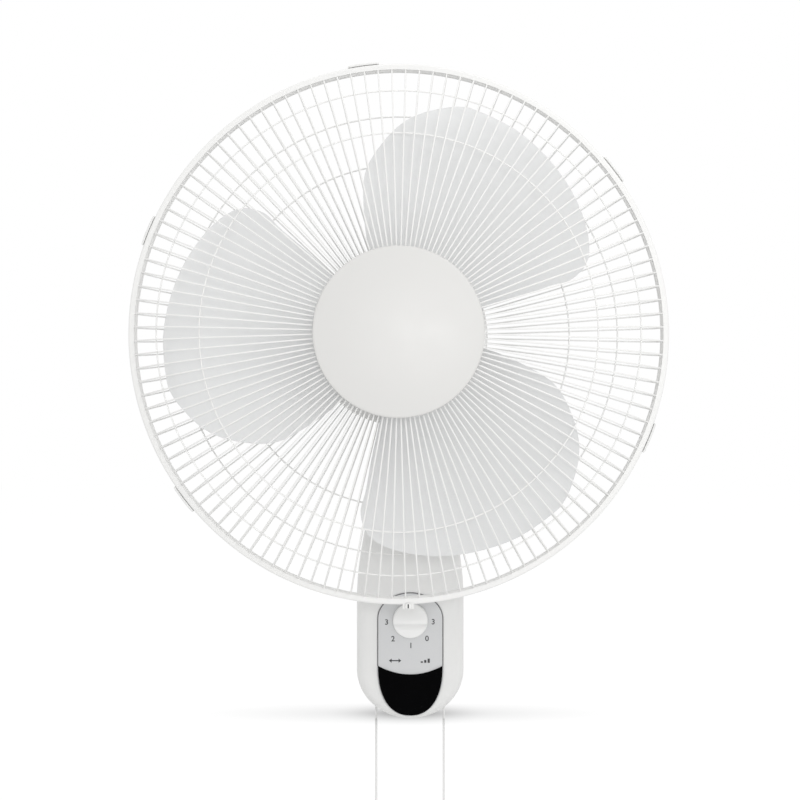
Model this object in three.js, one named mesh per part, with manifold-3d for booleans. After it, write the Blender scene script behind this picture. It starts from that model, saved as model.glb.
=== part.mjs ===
// Wall mounted fan, in millimetres. The wall is the plane y = 0, the fan looks along -Y and +Z is up.
// The origin is the middle of the wall bracket's back face. Angles round the motor axis are counted
// anticlockwise as seen from the front, from +X.
import * as THREE from 'three';
import { mergeVertices } from 'three/addons/utils/BufferGeometryUtils.js';
import Module from 'manifold-3d';

const wasm = await Module();
wasm.setup();

// ---------------------------------------------------------------- clearances
const FIT = 0.3; // gap between faces that touch on the real fan
const RUN = 0.6; // gap round anything that turns or slides
const WELD = 1e-4; // corners nearer than this are one corner
const OVER = 1; // how far a cut reaches past the face that it opens
const BITE = 0.6; // how far a joined feature reaches into the wall that carries it

// ---------------------------------------------------------------- wall unit
const SHELL = 2.4; // moulded wall thickness
const BODY_HALF_WIDTH = 47;
const BODY_DEPTH = 88; // wall plane to front face
const BODY_BOTTOM = -93;
const BODY_EGG_TOP = -50; // the rounded bottom starts here
const BODY_STRAIGHT_TOP = 13; // the straight sides end here
const BODY_EDGE = 6; // rounding of the front edge
const BODY_SLANT_START = 84; // the back leaves the wall above this height
const NECK_HALF_WIDTH = 26.5; // half width of the bottle neck at the tilt axis
const FRONT_DEPTH = 28; // depth of the front housing
const DOME_RADIUS = 20; // rounded shoulder about the tilt axis
const TILT_Z = 146; // height of the tilt axis

// ---------------------------------------------------------------- wall bracket
const BRACKET_WIDTH = 66;
const BRACKET_HEIGHT = 120;
const BRACKET_PLATE = 2;
const BRACKET_CORNER = 8;
const KEYHOLE_SPACING = 40;
const KEYHOLE_Z = 8;
const KEYHOLE_HEAD = 4.6; // radius that lets the wall screw's head through
const KEYHOLE_NECK = 2.6; // half width of the slot above it
const KEYHOLE_RISE = 9;
const HOOK_SPACING = 36;
const HOOK_WIDTH = 10;
const HOOK_Z = 42; // top of the hook's tab
const HOOK_LIP = 9; // rise of the lip above the tab

// ---------------------------------------------------------------- controls
const PANEL_HALF_WIDTH = 28.8;
const PANEL_TOP = 18.6;
const PANEL_BOTTOM = -89.6;
const PANEL_PLATE = 1.4;
const PANEL_ARCH = 23; // height of the panel's rounded top
const PANEL_FOOT = 25; // height of its rounded bottom
const PANEL_RECESS = 1.0; // how deep the panel sits in the front face
const KNOB_RADIUS = 15.2;
const KNOB_Z = -5.7;
const KNOB_HEIGHT = 14;
const KNOB_EDGE = 1.5; // bevel round the knob's skirt
const KNOB_GRIP = 3.4; // half width of the ridge across the knob
const SWITCH_STEM = 3; // radius of the speed switch's spindle
const WINDOW_TOP = -45.5; // ends of the dark window's upper edge
const WINDOW_SAG = 7.5; // that edge bows down by this much in the middle
const WINDOW_PLATE = 1.2;
const WINDOW_MARGIN = 1; // from the window's edge to the panel's edge
const SWITCH_SIZE = 34;
const SWITCH_DEPTH = 20;
const ARM_HALF = 3; // half thickness of the arm that the speed cord pulls
const SWITCH_GAP = 2.4; // between the two switches
const SWING_SWITCH_HEIGHT = 26;
const SWITCH_BACK = 36; // both switches rest on posts that stand this far off the wall

// ---------------------------------------------------------------- pull cords
const CORD_INSET = 16.6; // from the body's side to the pull cords
const CORD_Y = -46;
const CORD_RADIUS = 1;
const CORD_TOP = -62;
const CORD_END = -178;
const CORD_STEP = 6;
const CORD_SIDES = 8;
const BUSH_RADIUS = 3.6;
const BUSH_FLANGE = 5.2;
const BUSH_BRIM = 2;
const BUSH_TOP = -72;
const BUSH_BOTTOM = -90.5;
const BUSH_BORE = CORD_RADIUS + RUN;
const PULL_RADIUS = 5;
const PULL_HEIGHT = 18;

// ---------------------------------------------------------------- things inside the wall unit
const GLAND_RADIUS = 4.6;
const GLAND_BORE = 3.2;
const GLAND_BRIM = 2;
const GLAND_FLANGE = 2.5;
const GLAND_X = 16;
const GLAND_Y = -17;
const GLAND_BOTTOM = -94.5;
const GLAND_TOP = -78;
const CAPACITOR_WIDTH = 38;
const CAPACITOR_HEIGHT = 26;
const CAPACITOR_DEPTH = 18;
const CAPACITOR_Z = 70;
const CAPACITOR_SEAT = 10; // how far off the wall the capacitor sits
const TERMINAL_WIDTH = 30;
const TERMINAL_HEIGHT = 10;
const TERMINAL_DEPTH = 14;
const TERMINAL_Z = 26;
const TERMINAL_SEAT = 12;
const SCREW_RADIUS = 1.7;
const SCREW_HEAD = 3.2;
const SCREW_CAP = 2.2; // height of a screw's head
const SCREW_WEB = 4; // thickness of the web that a screw's head rests on
const SCREW_REACH = 12;
const POST_RADIUS = 5.4;
const UPPER_SCREW_INSET = 15; // from the body's side
const UPPER_SCREW_Z = 52;
const LOWER_SCREW_Z = -76;

// ---------------------------------------------------------------- tilt joint and neck
const TONGUE_HALF = 7; // half thickness of the neck's tongue
const TONGUE_RADIUS = 11;
const STEM_HALF = 8.5;
const TILT_RANGE = 25; // degrees, nose down
const CHEEK = 4; // thickness of each cheek beside the tongue
const CHEEK_RIM = 1; // the cheeks stand out this far round the tongue
const BOLT_RADIUS = 3;
const BOLT_HEAD = 5.5;
const BOLT_CAP = 4; // height of the bolt's head
const BOLT_TAIL = 7; // how far the bolt stands past the far cheek
const NUT_RADIUS = 5.4;
const NUT_HEIGHT = 5;
const SWING_SHIFT = 12; // the swing axis stands this far in front of the tilt axis
const HOOD_SPREAD = 46; // degrees to each side that the hood covers the shoulder by
const HOOD_RISE = 34; // top of the neck's hood above the tilt axis
const HOOD_BAND = 9.5; // height of the hood's straight sides
const HOOD_HALF_WIDTH = 23;
const HOOD_HALF_DEPTH = 18;
const CUP_RADIUS = 13.5;
const CUP_SINK = 4; // the cup starts this far below the hood's top
const CUP_RISE = 12; // how far the cup stands above the hood
const SPINDLE_RADIUS = 5;
const SPINDLE_BOSS = 4; // wall of the boss that the spindle hangs from
const SPINDLE_STEP = 1.6; // shoulder that rests on the bushing
const SPINDLE_DEPTH = 20; // depth of the cup's bore
const BUSHING_WALL = 2.2;
const BUSHING_FLANGE = 1;
const BUSHING_BRIM = 1.5;

// ---------------------------------------------------------------- swing linkage
const LINK_OFFSET = 16; // neck pin to swing axis
const SWING_RANGE = 45; // degrees to each side
const LINK_LENGTH = 27;
const CRANK_RATIO = 1.6; // degrees that the crank turns for each degree of the head
const LINK_PLATE = 2.4;
const LINK_PIN = 1.5;
const PIN_LUG = 3.9; // radius of the lug that the neck's pin stands on
const LINK_HALF = 3.6;
const LINK_RIM = 2; // round the eye
const LINK_LIFT = 1.6; // from the cup's top to the link
const SHELF_THICK = 3;
const CRANK_PLATE = 3;
const SWING_MOTOR_RADIUS = 18.5;
const SWING_MOTOR_HEIGHT = 14;
const CRANK_SHAFT = 2.4;

// ---------------------------------------------------------------- head
const HEAD_X = -10; // the motor axis lies a little left of the wall unit's middle
const CUP_ENTRY = 10; // how far the cup reaches into the motor cover
const COVER_RADIUS = 58;
const COVER_STEPS = 20;
const COVER_WALL = 2.2;
const COVER_REACH = 80; // from the swing axis to the front of the motor's cover
const COVER_FRONT_DEPTH = 26; // depth of the front cover
const COVER_LENGTH = 138; // of both covers together
const COVER_TAPER = 48; // the rounded tail's length
const TAIL_ROUND = 14; // how far in the tail's rounded edge lies
const COVER_EDGE = 8; // bevel round the front cover
const COLLAR_WALL = 3;
const CABLE_MARGIN = 1.6; // ring of free space round the cup in the cover
const COLLAR_RADIUS = 19;
const COLLAR_LENGTH = 17;
const SHAFT_RADIUS = 4;
const STATOR_RADIUS = 44;
const STATOR_BORE = 22.5;
const STATOR_STACK = 20;
const STATOR_SLOTS = 12;
const SHIELD_DEPTH = 15;
const SHIELD_WALL = 2;
const SHIELD_BOSS = 11;
const BEARING_RADIUS = 8;
const BEARING_LENGTH = 7;
const WINDING_INNER = 26;
const WINDING_OUTER = 40;
const WINDING_DEPTH = 10;
const MOUNT_PLATE = 5;
const MOUNT_RADIUS = 38;
const TAIL_POST_Z = 12; // the cover's screw sits this far above the motor axis
const TAIL_POST_RADIUS = 6;
const TAIL_SCREW = 1.5;
const TAIL_SCREW_HEAD = 4;
const TAIL_SCREW_REACH = 8; // how far it stands in the post
const AIR_SLOTS = 7;
const SLOT_HALF = 2;
const SLOT_START = 14; // from the covers' joint
const SLOT_BITE = 12;
const SLOT_FAN = 140; // degrees that the slots are spread over
const SLOT_FIRST = 20;

// ---------------------------------------------------------------- guards
const GUARD_RADIUS = 217.5;
const RIM_SHIFT = 6.5; // the guards meet this far behind the middle of the hub
const HOOP_WALL = 1.2;
const HOOP_DEPTH = 14.6;
const HOOP_LIP = 4.1; // radial width of the hoop's lips
const RIM_WIRE = 5;
const WIRE_RADIUS = 1.05;
const SPOKES = 120;
const SPOKE_ROOT = 0.8; // the spokes start this far outside the rim wire's middle
const SPOKE_LAP = 2.5; // and end this far inside the middle plate's edge
const FRONT_SHOULDER = 8; // the front spokes turn inwards here, from the rim
const FRONT_SHOULDER_DEPTH = 14;
const FRONT_BOW = 46; // and flatten here
const FRONT_BOW_DEPTH = 13;
const REAR_SHOULDER = 16;
const REAR_SHOULDER_DEPTH = 20;
const RIM_STEPS = 40;
const PLATE_STEPS = 40;
const FRONT_RING_INSETS = [56.5, 20.5]; // of the middle rings, from the rim wire
const REAR_RING_INSETS = [72.5, 33.5];
const GUARD_NUT_RADIUS = 30;
const GUARD_NUT_DEPTH = 11;
const PLATE_THICKNESS = 3;
const CAP_ROOM = 6.7; // from the spinner nut to the middle of the front plate
const FRONT_PLATE_RADIUS = 64;
const FRONT_PLATE_HOLE = 52;
const REAR_PLATE_RADIUS = 74;
const BADGE_RADIUS = 67;
const BADGE_CROWN = 3.4;
const CLIP_LENGTH = 25;
const CLIP_PLATE = 1.8;
const CLIP_ANGLES = [37.5, 97.5, 157.5, 217.5, 337.5];
const LOCK_ANGLE = 272;
const LOCK_HALF = 5; // half width of the lug for the lock screw
const LOCK_SCREW = 1.4;
const LOCK_NUT = 3.2;
const LOCK_RISE = 1.2; // from the hoop to the lock screw's axis

// ---------------------------------------------------------------- blade
const HUB_RADIUS = 42;
const HUB_GAP = 14.3; // between the guard nut and the hub
const HUB_DEPTH = 43;
const HUB_WALL = 2.6;
const BLADE_COUNT = 3;
const BLADE_PHASE = 17.5; // degrees to the first leaf's leading edge
const BOSS_WALL = 6; // plastic round the shaft
const TIP_GAP = 27.5; // from the blade's tips to the guard's outside
const BLADE_DEPTH = 43; // from the leading edge at the back to the trailing edge in front
const BLADE_THICKNESS = 2;
const BLADE_CAMBER = 6;
const NUT_LENGTH = 16;
const NUT_SKIN = 6; // solid front of the spinner nut
const SPINNER_RADIUS = 14;
const DRIVE_PIN_RADIUS = 1.5;
const DRIVE_PIN_LENGTH = 20;
const DRIVE_PIN_SEAT = 8; // from the hub's back edge to the pin

// Along one leaf, from hub (0) to tip (1): the angles of its two edges, counted from the root's
// leading edge, and its depth as a part of the full depth.
const LEAF_ROWS = [
  { along: 0, lead: 0, trail: 92, depth: 0.88 },
  { along: 0.2, lead: 0, trail: 92, depth: 0.98 },
  { along: 0.4, lead: 0, trail: 88.5, depth: 1 },
  { along: 0.59, lead: 0.5, trail: 84.5, depth: 0.98 },
  { along: 0.73, lead: 0.5, trail: 78, depth: 0.92 },
  { along: 0.86, lead: 6, trail: 70.5, depth: 0.79 },
  { along: 0.946, lead: 22, trail: 62.5, depth: 0.49 },
  { along: 1, lead: 43, trail: 55, depth: 0.16 },
];

// ---------------------------------------------------------------- worked-out places
const SPLIT_DEPTH = BODY_DEPTH - FRONT_DEPTH; // parting plane of the two housings
const TILT_Y = -BODY_DEPTH + DOME_RADIUS;
const SWING_Y = TILT_Y - SWING_SHIFT;
const COVER_FRONT = SWING_Y - COVER_REACH;
const COVER_SPLIT = COVER_FRONT + COVER_FRONT_DEPTH;
const STATOR_FRONT = COVER_SPLIT;
const COVER_TAIL = COVER_FRONT + COVER_LENGTH;
const COVER_STRAIGHT_END = COVER_TAIL - COVER_TAPER;
const SCREW_SEAT = SPLIT_DEPTH - SCREW_WEB;
const SCREW_PLACES = [
  [UPPER_SCREW_INSET - BODY_HALF_WIDTH, UPPER_SCREW_Z],
  [BODY_HALF_WIDTH - UPPER_SCREW_INSET, UPPER_SCREW_Z],
  [0, LOWER_SCREW_Z],
];
const CORD_X = BODY_HALF_WIDTH - CORD_INSET;
const SWING_SWITCH_WIDTH = 2 * CORD_X - SWITCH_SIZE - 2 * SWITCH_GAP;
const PANEL_FRONT = -BODY_DEPTH + PANEL_RECESS - FIT - PANEL_PLATE;
const BOLT_REACH = TONGUE_HALF + RUN + CHEEK;
const HOOD_TOP = TILT_Z + HOOD_RISE;
const HOOD_GAP = RUN + FIT; // between the shoulder and the hood that rolls over it
const CUP_TOP = HOOD_TOP + CUP_RISE;
const CUP_BORE = SPINDLE_RADIUS + FIT + BUSHING_WALL + FIT;
const CUP_FLOOR = CUP_TOP - SPINDLE_DEPTH;
const BUSHING_TOP = CUP_TOP + FIT + BUSHING_FLANGE;
const HEAD_Z = CUP_TOP + COVER_RADIUS - CUP_ENTRY;
const CRANK_RADIUS = LINK_OFFSET * Math.sin(THREE.MathUtils.degToRad(SWING_RANGE));
const BODY_BACK = -BRACKET_PLATE - FIT;
const SWING_X = -HEAD_X; // the swing axis as the head sees it
const SHELL_BACK = BODY_BACK - SHELL;
const LINK_BOTTOM = CUP_TOP + LINK_LIFT;
const LINK_TOP = LINK_BOTTOM + LINK_PLATE;
const CRANK_X = -LINK_OFFSET / 2;
const CRANK_Y = SWING_Y + LINK_LENGTH;
const CRANK_PIN_X = CRANK_X - CRANK_RADIUS;
const SHELF_BELOW = LINK_TOP + FIT + CRANK_PLATE + FIT + SWING_MOTOR_HEIGHT + FIT * 2;
const STATOR_BACK = STATOR_FRONT + STATOR_STACK;
const SHIELD_FRONT = STATOR_FRONT - SHIELD_DEPTH;
const SHIELD_REAR = STATOR_BACK + SHIELD_DEPTH;
const MOUNT_FRONT = SHIELD_REAR + BEARING_LENGTH / 2 + FIT;
const MOUNT_BACK = MOUNT_FRONT + MOUNT_PLATE;
const TAIL_POST_END = COVER_TAIL - COVER_WALL - FIT;
const REAR_PLATE_Y = COVER_FRONT - FIT - PLATE_THICKNESS / 2;
const GUARD_NUT_BACK = REAR_PLATE_Y - PLATE_THICKNESS / 2 - WIRE_RADIUS - FIT;
const GUARD_NUT_FRONT = GUARD_NUT_BACK - GUARD_NUT_DEPTH;
const HUB_BACK = GUARD_NUT_FRONT - HUB_GAP;
const HUB_FRONT = HUB_BACK - HUB_DEPTH;
const BLADE_MIDDLE_Y = (HUB_BACK + HUB_FRONT) / 2;
const RIM_Y = BLADE_MIDDLE_Y + RIM_SHIFT;
const BLADE_RADIUS = GUARD_RADIUS - TIP_GAP;
const NUT_BACK = HUB_FRONT - FIT;
const NUT_FRONT = NUT_BACK - NUT_LENGTH;
const SHAFT_FRONT = NUT_FRONT + NUT_SKIN;
const FRONT_PLATE_Y = NUT_FRONT - CAP_ROOM;
const DRIVE_PIN_Y = HUB_BACK - DRIVE_PIN_SEAT;
const RIM_RADIUS = GUARD_RADIUS - HOOP_WALL - FIT - RIM_WIRE / 2;
const RIM_OFFSET = RIM_WIRE / 2 + FIT / 2; // from the meeting plane to each rim wire
const FRONT_RIM_Y = RIM_Y - RIM_OFFSET;
const REAR_RIM_Y = RIM_Y + RIM_OFFSET;
const HOOP_FRONT = RIM_Y - HOOP_DEPTH / 2;
const HOOP_REAR = RIM_Y + HOOP_DEPTH / 2;
const LOCK_RADIUS = GUARD_RADIUS + LOCK_RISE;

// Where the spokes run, [radius, y], from the rim wire to the middle plate.
const FRONT_PATH = [
  [RIM_RADIUS + SPOKE_ROOT, FRONT_RIM_Y],
  [RIM_RADIUS - FRONT_SHOULDER, FRONT_RIM_Y - FRONT_SHOULDER_DEPTH],
  [RIM_RADIUS - FRONT_BOW, FRONT_PLATE_Y + FRONT_BOW_DEPTH],
  [FRONT_PLATE_RADIUS - SPOKE_LAP, FRONT_PLATE_Y],
];
const REAR_PATH = [
  [RIM_RADIUS + SPOKE_ROOT, REAR_RIM_Y],
  [RIM_RADIUS - REAR_SHOULDER, REAR_RIM_Y + REAR_SHOULDER_DEPTH],
  [REAR_PLATE_RADIUS - SPOKE_LAP, REAR_PLATE_Y],
];

// ================================================================ helpers
const radians = THREE.MathUtils.degToRad;

/** The signed volume that a list of triangles encloses. */
function enclosed(positions, corners) {
  const [a, b, c] = [new THREE.Vector3(), new THREE.Vector3(), new THREE.Vector3()];
  let sum = 0;
  for (let i = 0; i < corners.length; i += 3) {
    a.fromArray(positions, corners[i] * 3);
    b.fromArray(positions, corners[i + 1] * 3);
    c.fromArray(positions, corners[i + 2] * 3);
    sum += a.dot(b.cross(c));
  }
  return sum;
}

/** A closed geometry as a solid, with its faces pointing out. */
function solid(geometry) {
  const bare = new THREE.BufferGeometry();
  bare.setAttribute('position', geometry.getAttribute('position').clone());
  if (geometry.index) bare.setIndex(geometry.index.clone());
  const merged = mergeVertices(bare, WELD);
  const corners = merged.index.array;
  const positions = merged.getAttribute('position').array;
  const kept = [];
  for (let i = 0; i < corners.length; i += 3) {
    const [a, b, c] = [corners[i], corners[i + 1], corners[i + 2]];
    if (a !== b && b !== c && c !== a) kept.push(a, b, c);
  }
  if (enclosed(positions, kept) < 0) kept.reverse();
  const mesh = new wasm.Mesh({
    numProp: 3,
    vertProperties: Float32Array.from(positions),
    triVerts: Uint32Array.from(kept),
  });
  return new wasm.Manifold(mesh);
}

/** A solid as a geometry for a mesh. */
function toGeometry(shape) {
  const mesh = shape.getMesh();
  const geometry = new THREE.BufferGeometry();
  geometry.setAttribute('position', new THREE.BufferAttribute(mesh.vertProperties, mesh.numProp));
  geometry.setIndex(new THREE.BufferAttribute(mesh.triVerts, 1));
  return geometry;
}

/** Joins solids into one. */
function join(first, ...others) {
  return others.reduce((sum, next) => sum.add(next), first);
}

/** Cuts solids away from the first one. */
function cut(first, ...others) {
  return others.reduce((rest, next) => rest.subtract(next), first);
}

/** A solid turned about Y by an angle counted anticlockwise as seen from the front. */
function spun(geometry, degrees) {
  return geometry.clone().rotateY(radians(-degrees));
}

/** A body of revolution about the Y axis from [radius, y] pairs that close on themselves. */
function revolve(profile, steps) {
  const points = profile.map(([radius, y]) => new THREE.Vector2(radius, y));
  const onAxis = points[0].x === 0 && points[points.length - 1].x === 0;
  if (!onAxis) points.push(points[0].clone());
  return new THREE.LatheGeometry(points, steps);
}

/** The same about a vertical axis, from [radius, z] pairs, standing at x, y. */
function revolveUp(profile, steps, x, y) {
  return revolve(profile, steps).rotateX(Math.PI / 2).translate(x, y, 0);
}

/** The same about a sideways axis at y, z, from [radius, x] pairs. */
function revolveAcross(profile, steps, y, z) {
  return revolve(profile, steps).rotateZ(-Math.PI / 2).translate(0, y, z);
}

/** A plain rod from one distance along its axis to another, as a profile. */
function rod(radius, from, to) {
  return [[0, from], [radius, from], [radius, to], [0, to]];
}

/** A plain tube, as a profile. */
function tube(inner, outer, from, to) {
  return [[inner, from], [outer, from], [outer, to], [inner, to]];
}

/** A block between two corners. */
function block(low, high) {
  const size = high.map((value, i) => value - low[i]);
  const middle = high.map((value, i) => (value + low[i]) / 2);
  return new THREE.BoxGeometry(...size).translate(...middle);
}

function outline(points) {
  return new THREE.Shape(points.map(([u, v]) => new THREE.Vector2(u, v)));
}

/** An outline in the x-z plane made thick along Y, from front to back. */
function frontPlate(shape, front, back, bevel = 0) {
  const geometry = new THREE.ExtrudeGeometry(shape, {
    depth: back - front - 2 * bevel,
    bevelEnabled: bevel > 0,
    bevelThickness: bevel,
    bevelSize: bevel,
    bevelOffset: -bevel,
    bevelSegments: 1,
    curveSegments: 6,
  });
  return geometry.rotateX(Math.PI / 2).translate(0, back - bevel, 0);
}

/** An outline in the y-z plane made thick along X, from left to right. */
function sidePlate(shape, left, right) {
  const geometry = new THREE.ExtrudeGeometry(shape, {
    depth: right - left,
    bevelEnabled: false,
    curveSegments: 6,
  });
  const swap = new THREE.Matrix4().set(0, 0, 1, left, 1, 0, 0, 0, 0, 1, 0, 0, 0, 0, 0, 1);
  return geometry.applyMatrix4(swap);
}

/** An outline in the x-y plane made thick along Z, from below to above. */
function levelPlate(shape, below, above) {
  const geometry = new THREE.ExtrudeGeometry(shape, {
    depth: above - below,
    bevelEnabled: false,
    curveSegments: 6,
  });
  return geometry.translate(0, 0, below);
}

/** Points of an arc about a middle point, angles in degrees. */
function arc(u, v, radius, from, to, steps) {
  const points = [];
  for (let i = 0; i <= steps; i += 1) {
    const angle = radians(from + ((to - from) * i) / steps);
    points.push([u + radius * Math.cos(angle), v + radius * Math.sin(angle)]);
  }
  return points;
}

/** A closed outline moved inwards by a distance. The points run anticlockwise. */
function inset(points, distance) {
  const count = points.length;
  const unit = (from, to) => {
    const step = new THREE.Vector2(to[0] - from[0], to[1] - from[1]).normalize();
    return new THREE.Vector2(-step.y, step.x);
  };
  return points.map((point, i) => {
    const before = unit(points[(i + count - 1) % count], point);
    const after = unit(point, points[(i + 1) % count]);
    const mitre = before.clone().add(after).normalize();
    const reach = distance / Math.max(mitre.dot(after), 0.5);
    return [point[0] + mitre.x * reach, point[1] + mitre.y * reach];
  });
}

const finishes = {
  white: { color: 0xf2f2f0, roughness: 0.35, metalness: 0 },
  enamel: { color: 0xf0f0ee, roughness: 0.3, metalness: 0.1 },
  blade: { color: 0xe6e6e6, roughness: 0.4, metalness: 0 },
  silver: { color: 0xc9cacc, roughness: 0.4, metalness: 0.3 },
  dark: { color: 0x0c0c0e, roughness: 0.08, metalness: 0 },
  steel: { color: 0xb4b6b8, roughness: 0.35, metalness: 0.9 },
  cast: { color: 0xa7a9ab, roughness: 0.55, metalness: 0.8 },
  brass: { color: 0xc2a24e, roughness: 0.35, metalness: 0.9 },
  copper: { color: 0xb06a3a, roughness: 0.45, metalness: 0.8 },
  black: { color: 0x1c1c1e, roughness: 0.5, metalness: 0 },
  grey: { color: 0x8e9092, roughness: 0.5, metalness: 0 },
};

/** A named sub-part in its group, from a closed geometry or a solid. */
function place(group, name, form, finish) {
  const shape = form.isBufferGeometry ? solid(form) : form;
  const material = new THREE.MeshStandardMaterial(finishes[finish]);
  const mesh = new THREE.Mesh(toGeometry(shape), material);
  mesh.name = name;
  group.add(mesh);
  return mesh;
}

// ================================================================ wall unit
/** Half of the front outline, [half width, z], from the bottom up. */
function bodyEdge() {
  const egg = arc(0, 0, 1, -90, 0, 5).map(([across, up]) => [
    across * BODY_HALF_WIDTH,
    BODY_EGG_TOP + up * (BODY_EGG_TOP - BODY_BOTTOM),
  ]);
  const reach = TILT_Z - BODY_STRAIGHT_TOP;
  const taper = [0, 0.2, 0.4, 0.6, 0.8, 1].map((part) => [
    BODY_HALF_WIDTH - (BODY_HALF_WIDTH - NECK_HALF_WIDTH) * smooth(part),
    BODY_STRAIGHT_TOP + part * reach,
  ]);
  return [...egg, ...taper, [NECK_HALF_WIDTH, TILT_Z + DOME_RADIUS + SHELL]];
}

/** Eases from 0 to 1, slowly at first, as the bottle shape does. */
function smooth(part) {
  return part * part * (3 - 2 * part) * 0.6 + part * part * 0.4;
}

function bodyFront() {
  const edge = bodyEdge();
  const mirrored = edge.slice(1).reverse().map(([across, z]) => [-across, z]);
  return [...edge, ...mirrored];
}

/** The side outline in the y-z plane: slanted back, round shoulder and straight front. */
function bodySide() {
  const under = BODY_BOTTOM - SHELL;
  const shoulder = arc(TILT_Y, TILT_Z, DOME_RADIUS, 30, 180, 8);
  return [
    [-BODY_DEPTH, under],
    [BODY_BACK, under],
    [BODY_BACK, BODY_SLANT_START],
    ...shoulder,
  ];
}

/** The outer form of the wall unit, drawn in by a distance. */
function bodyForm(drawnIn) {
  const front = frontPlate(
    outline(inset(bodyFront(), drawnIn)),
    -BODY_DEPTH + drawnIn,
    BODY_DEPTH,
    BODY_EDGE - drawnIn / 2,
  );
  const side = sidePlate(
    outline(inset(bodySide(), drawnIn)),
    -BODY_HALF_WIDTH - SHELL,
    BODY_HALF_WIDTH + SHELL,
  );
  return solid(front).intersect(solid(side));
}

/** Everything in front of, or behind, the parting plane. */
function halfSpace(front) {
  const parting = -SPLIT_DEPTH;
  const far = BODY_DEPTH * 2;
  const low = front ? -far : parting + FIT / 2;
  const high = front ? parting - FIT / 2 : far;
  return solid(block([-far, low, -far], [far, high, 2 * far]));
}

/** The slot that the neck's stem passes through, wide enough for its tilt. */
function neckSlot() {
  const stemAngle = THREE.MathUtils.radToDeg(Math.asin(STEM_HALF / DOME_RADIUS));
  const margin = THREE.MathUtils.radToDeg((RUN * 3) / DOME_RADIUS);
  const from = 90 - stemAngle - margin;
  const to = 90 + stemAngle + margin + TILT_RANGE;
  const ring = [
    ...arc(TILT_Y, TILT_Z, DOME_RADIUS + SHELL, from, to, 5),
    ...arc(TILT_Y, TILT_Z, TONGUE_RADIUS + RUN, to, from, 5),
  ];
  return solid(sidePlate(outline(ring), -TONGUE_HALF - RUN, TONGUE_HALF + RUN));
}

/** A round post along Y. */
function post(radius, from, to, x, z) {
  return solid(revolve(rod(radius, from, to), 8).translate(x, 0, z));
}

function rearHousing() {
  const outer = bodyForm(0);
  const shell = cut(outer, bodyForm(SHELL)).intersect(halfSpace(false));
  const postEnd = -SPLIT_DEPTH + FIT / 2;
  const posts = SCREW_PLACES.map(([x, z]) => post(POST_RADIUS, postEnd, SHELL_BACK + BITE, x, z));
  const wells = SCREW_PLACES.map(([x, z]) => post(SCREW_HEAD + FIT, -SCREW_SEAT, FIT, x, z));
  const bores = SCREW_PLACES.map(([x, z]) => post(SCREW_RADIUS + FIT, -BODY_DEPTH, 0, x, z));
  const made = join(shell, ...posts, ...cheeks(outer), ...seats());
  return cut(made, ...wells, ...bores, ...hookSlots(), ...bushHoles(), neckSlot(), glandHole(),
    solid(revolveAcross(rod(BOLT_RADIUS + FIT, -BODY_HALF_WIDTH / 2, BODY_HALF_WIDTH / 2), 12,
      TILT_Y, TILT_Z)));
}

/** The two cheeks that carry the tilt bolt. */
function cheeks(outer) {
  const radius = TONGUE_RADIUS + CHEEK_RIM;
  const side = outline([
    ...arc(TILT_Y, TILT_Z, radius, 60, 250, 8),
    [TILT_Y + radius, TILT_Z - 2.4 * radius],
    [BODY_BACK, TILT_Z - 2.4 * radius],
    [BODY_BACK, TILT_Z - radius],
  ]);
  return [-1, 1].map((hand) => {
    const near = hand * (TONGUE_HALF + RUN);
    const far = hand * (TONGUE_HALF + RUN + CHEEK);
    const cheek = solid(sidePlate(side, Math.min(near, far), Math.max(near, far)));
    return cheek.intersect(outer);
  });
}

/** Posts and ledges on the rear wall that carry the switches, the capacitor and the terminals. */
function seats() {
  const from = SHELL_BACK + BITE;
  const ledge = (x, z, halfWidth, halfHeight, depth) =>
    solid(block([x - halfWidth, -depth + FIT, z - halfHeight], [x + halfWidth, from, z + halfHeight]));
  return [
    ledge(0, KNOB_Z, SWITCH_SIZE / 4, SWITCH_SIZE / 4, SWITCH_BACK),
    ledge(-CORD_X, swingSwitchZ(), SWING_SWITCH_WIDTH / 4, SWING_SWITCH_HEIGHT / 4, SWITCH_BACK),
    ledge(0, CAPACITOR_Z, CAPACITOR_WIDTH / 3, CAPACITOR_HEIGHT / 4, CAPACITOR_SEAT),
    ledge(0, TERMINAL_Z, TERMINAL_WIDTH / 3, TERMINAL_HEIGHT / 3, TERMINAL_SEAT),
  ];
}

function swingSwitchZ() {
  return CORD_TOP + FIT + SWING_SWITCH_HEIGHT / 2;
}

function hookSlots() {
  return [-1, 1].map((hand) => {
    const x = (hand * HOOK_SPACING) / 2;
    const half = HOOK_WIDTH / 2 + RUN;
    const low = HOOK_Z - BRACKET_PLATE - HOOK_LIP - 2;
    return solid(block([x - half, SHELL_BACK - 1, low], [x + half, BODY_BACK + 1, HOOK_Z + FIT]));
  });
}

function bushHoles() {
  return [-1, 1].map((hand) =>
    solid(revolveUp(rod(BUSH_RADIUS + RUN, BUSH_BOTTOM - BUSH_FLANGE, BUSH_TOP), 8, hand * CORD_X, CORD_Y)));
}

function glandHole() {
  return solid(revolveUp(rod(GLAND_RADIUS + FIT, GLAND_BOTTOM - OVER, GLAND_TOP), 10, GLAND_X, GLAND_Y));
}

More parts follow.
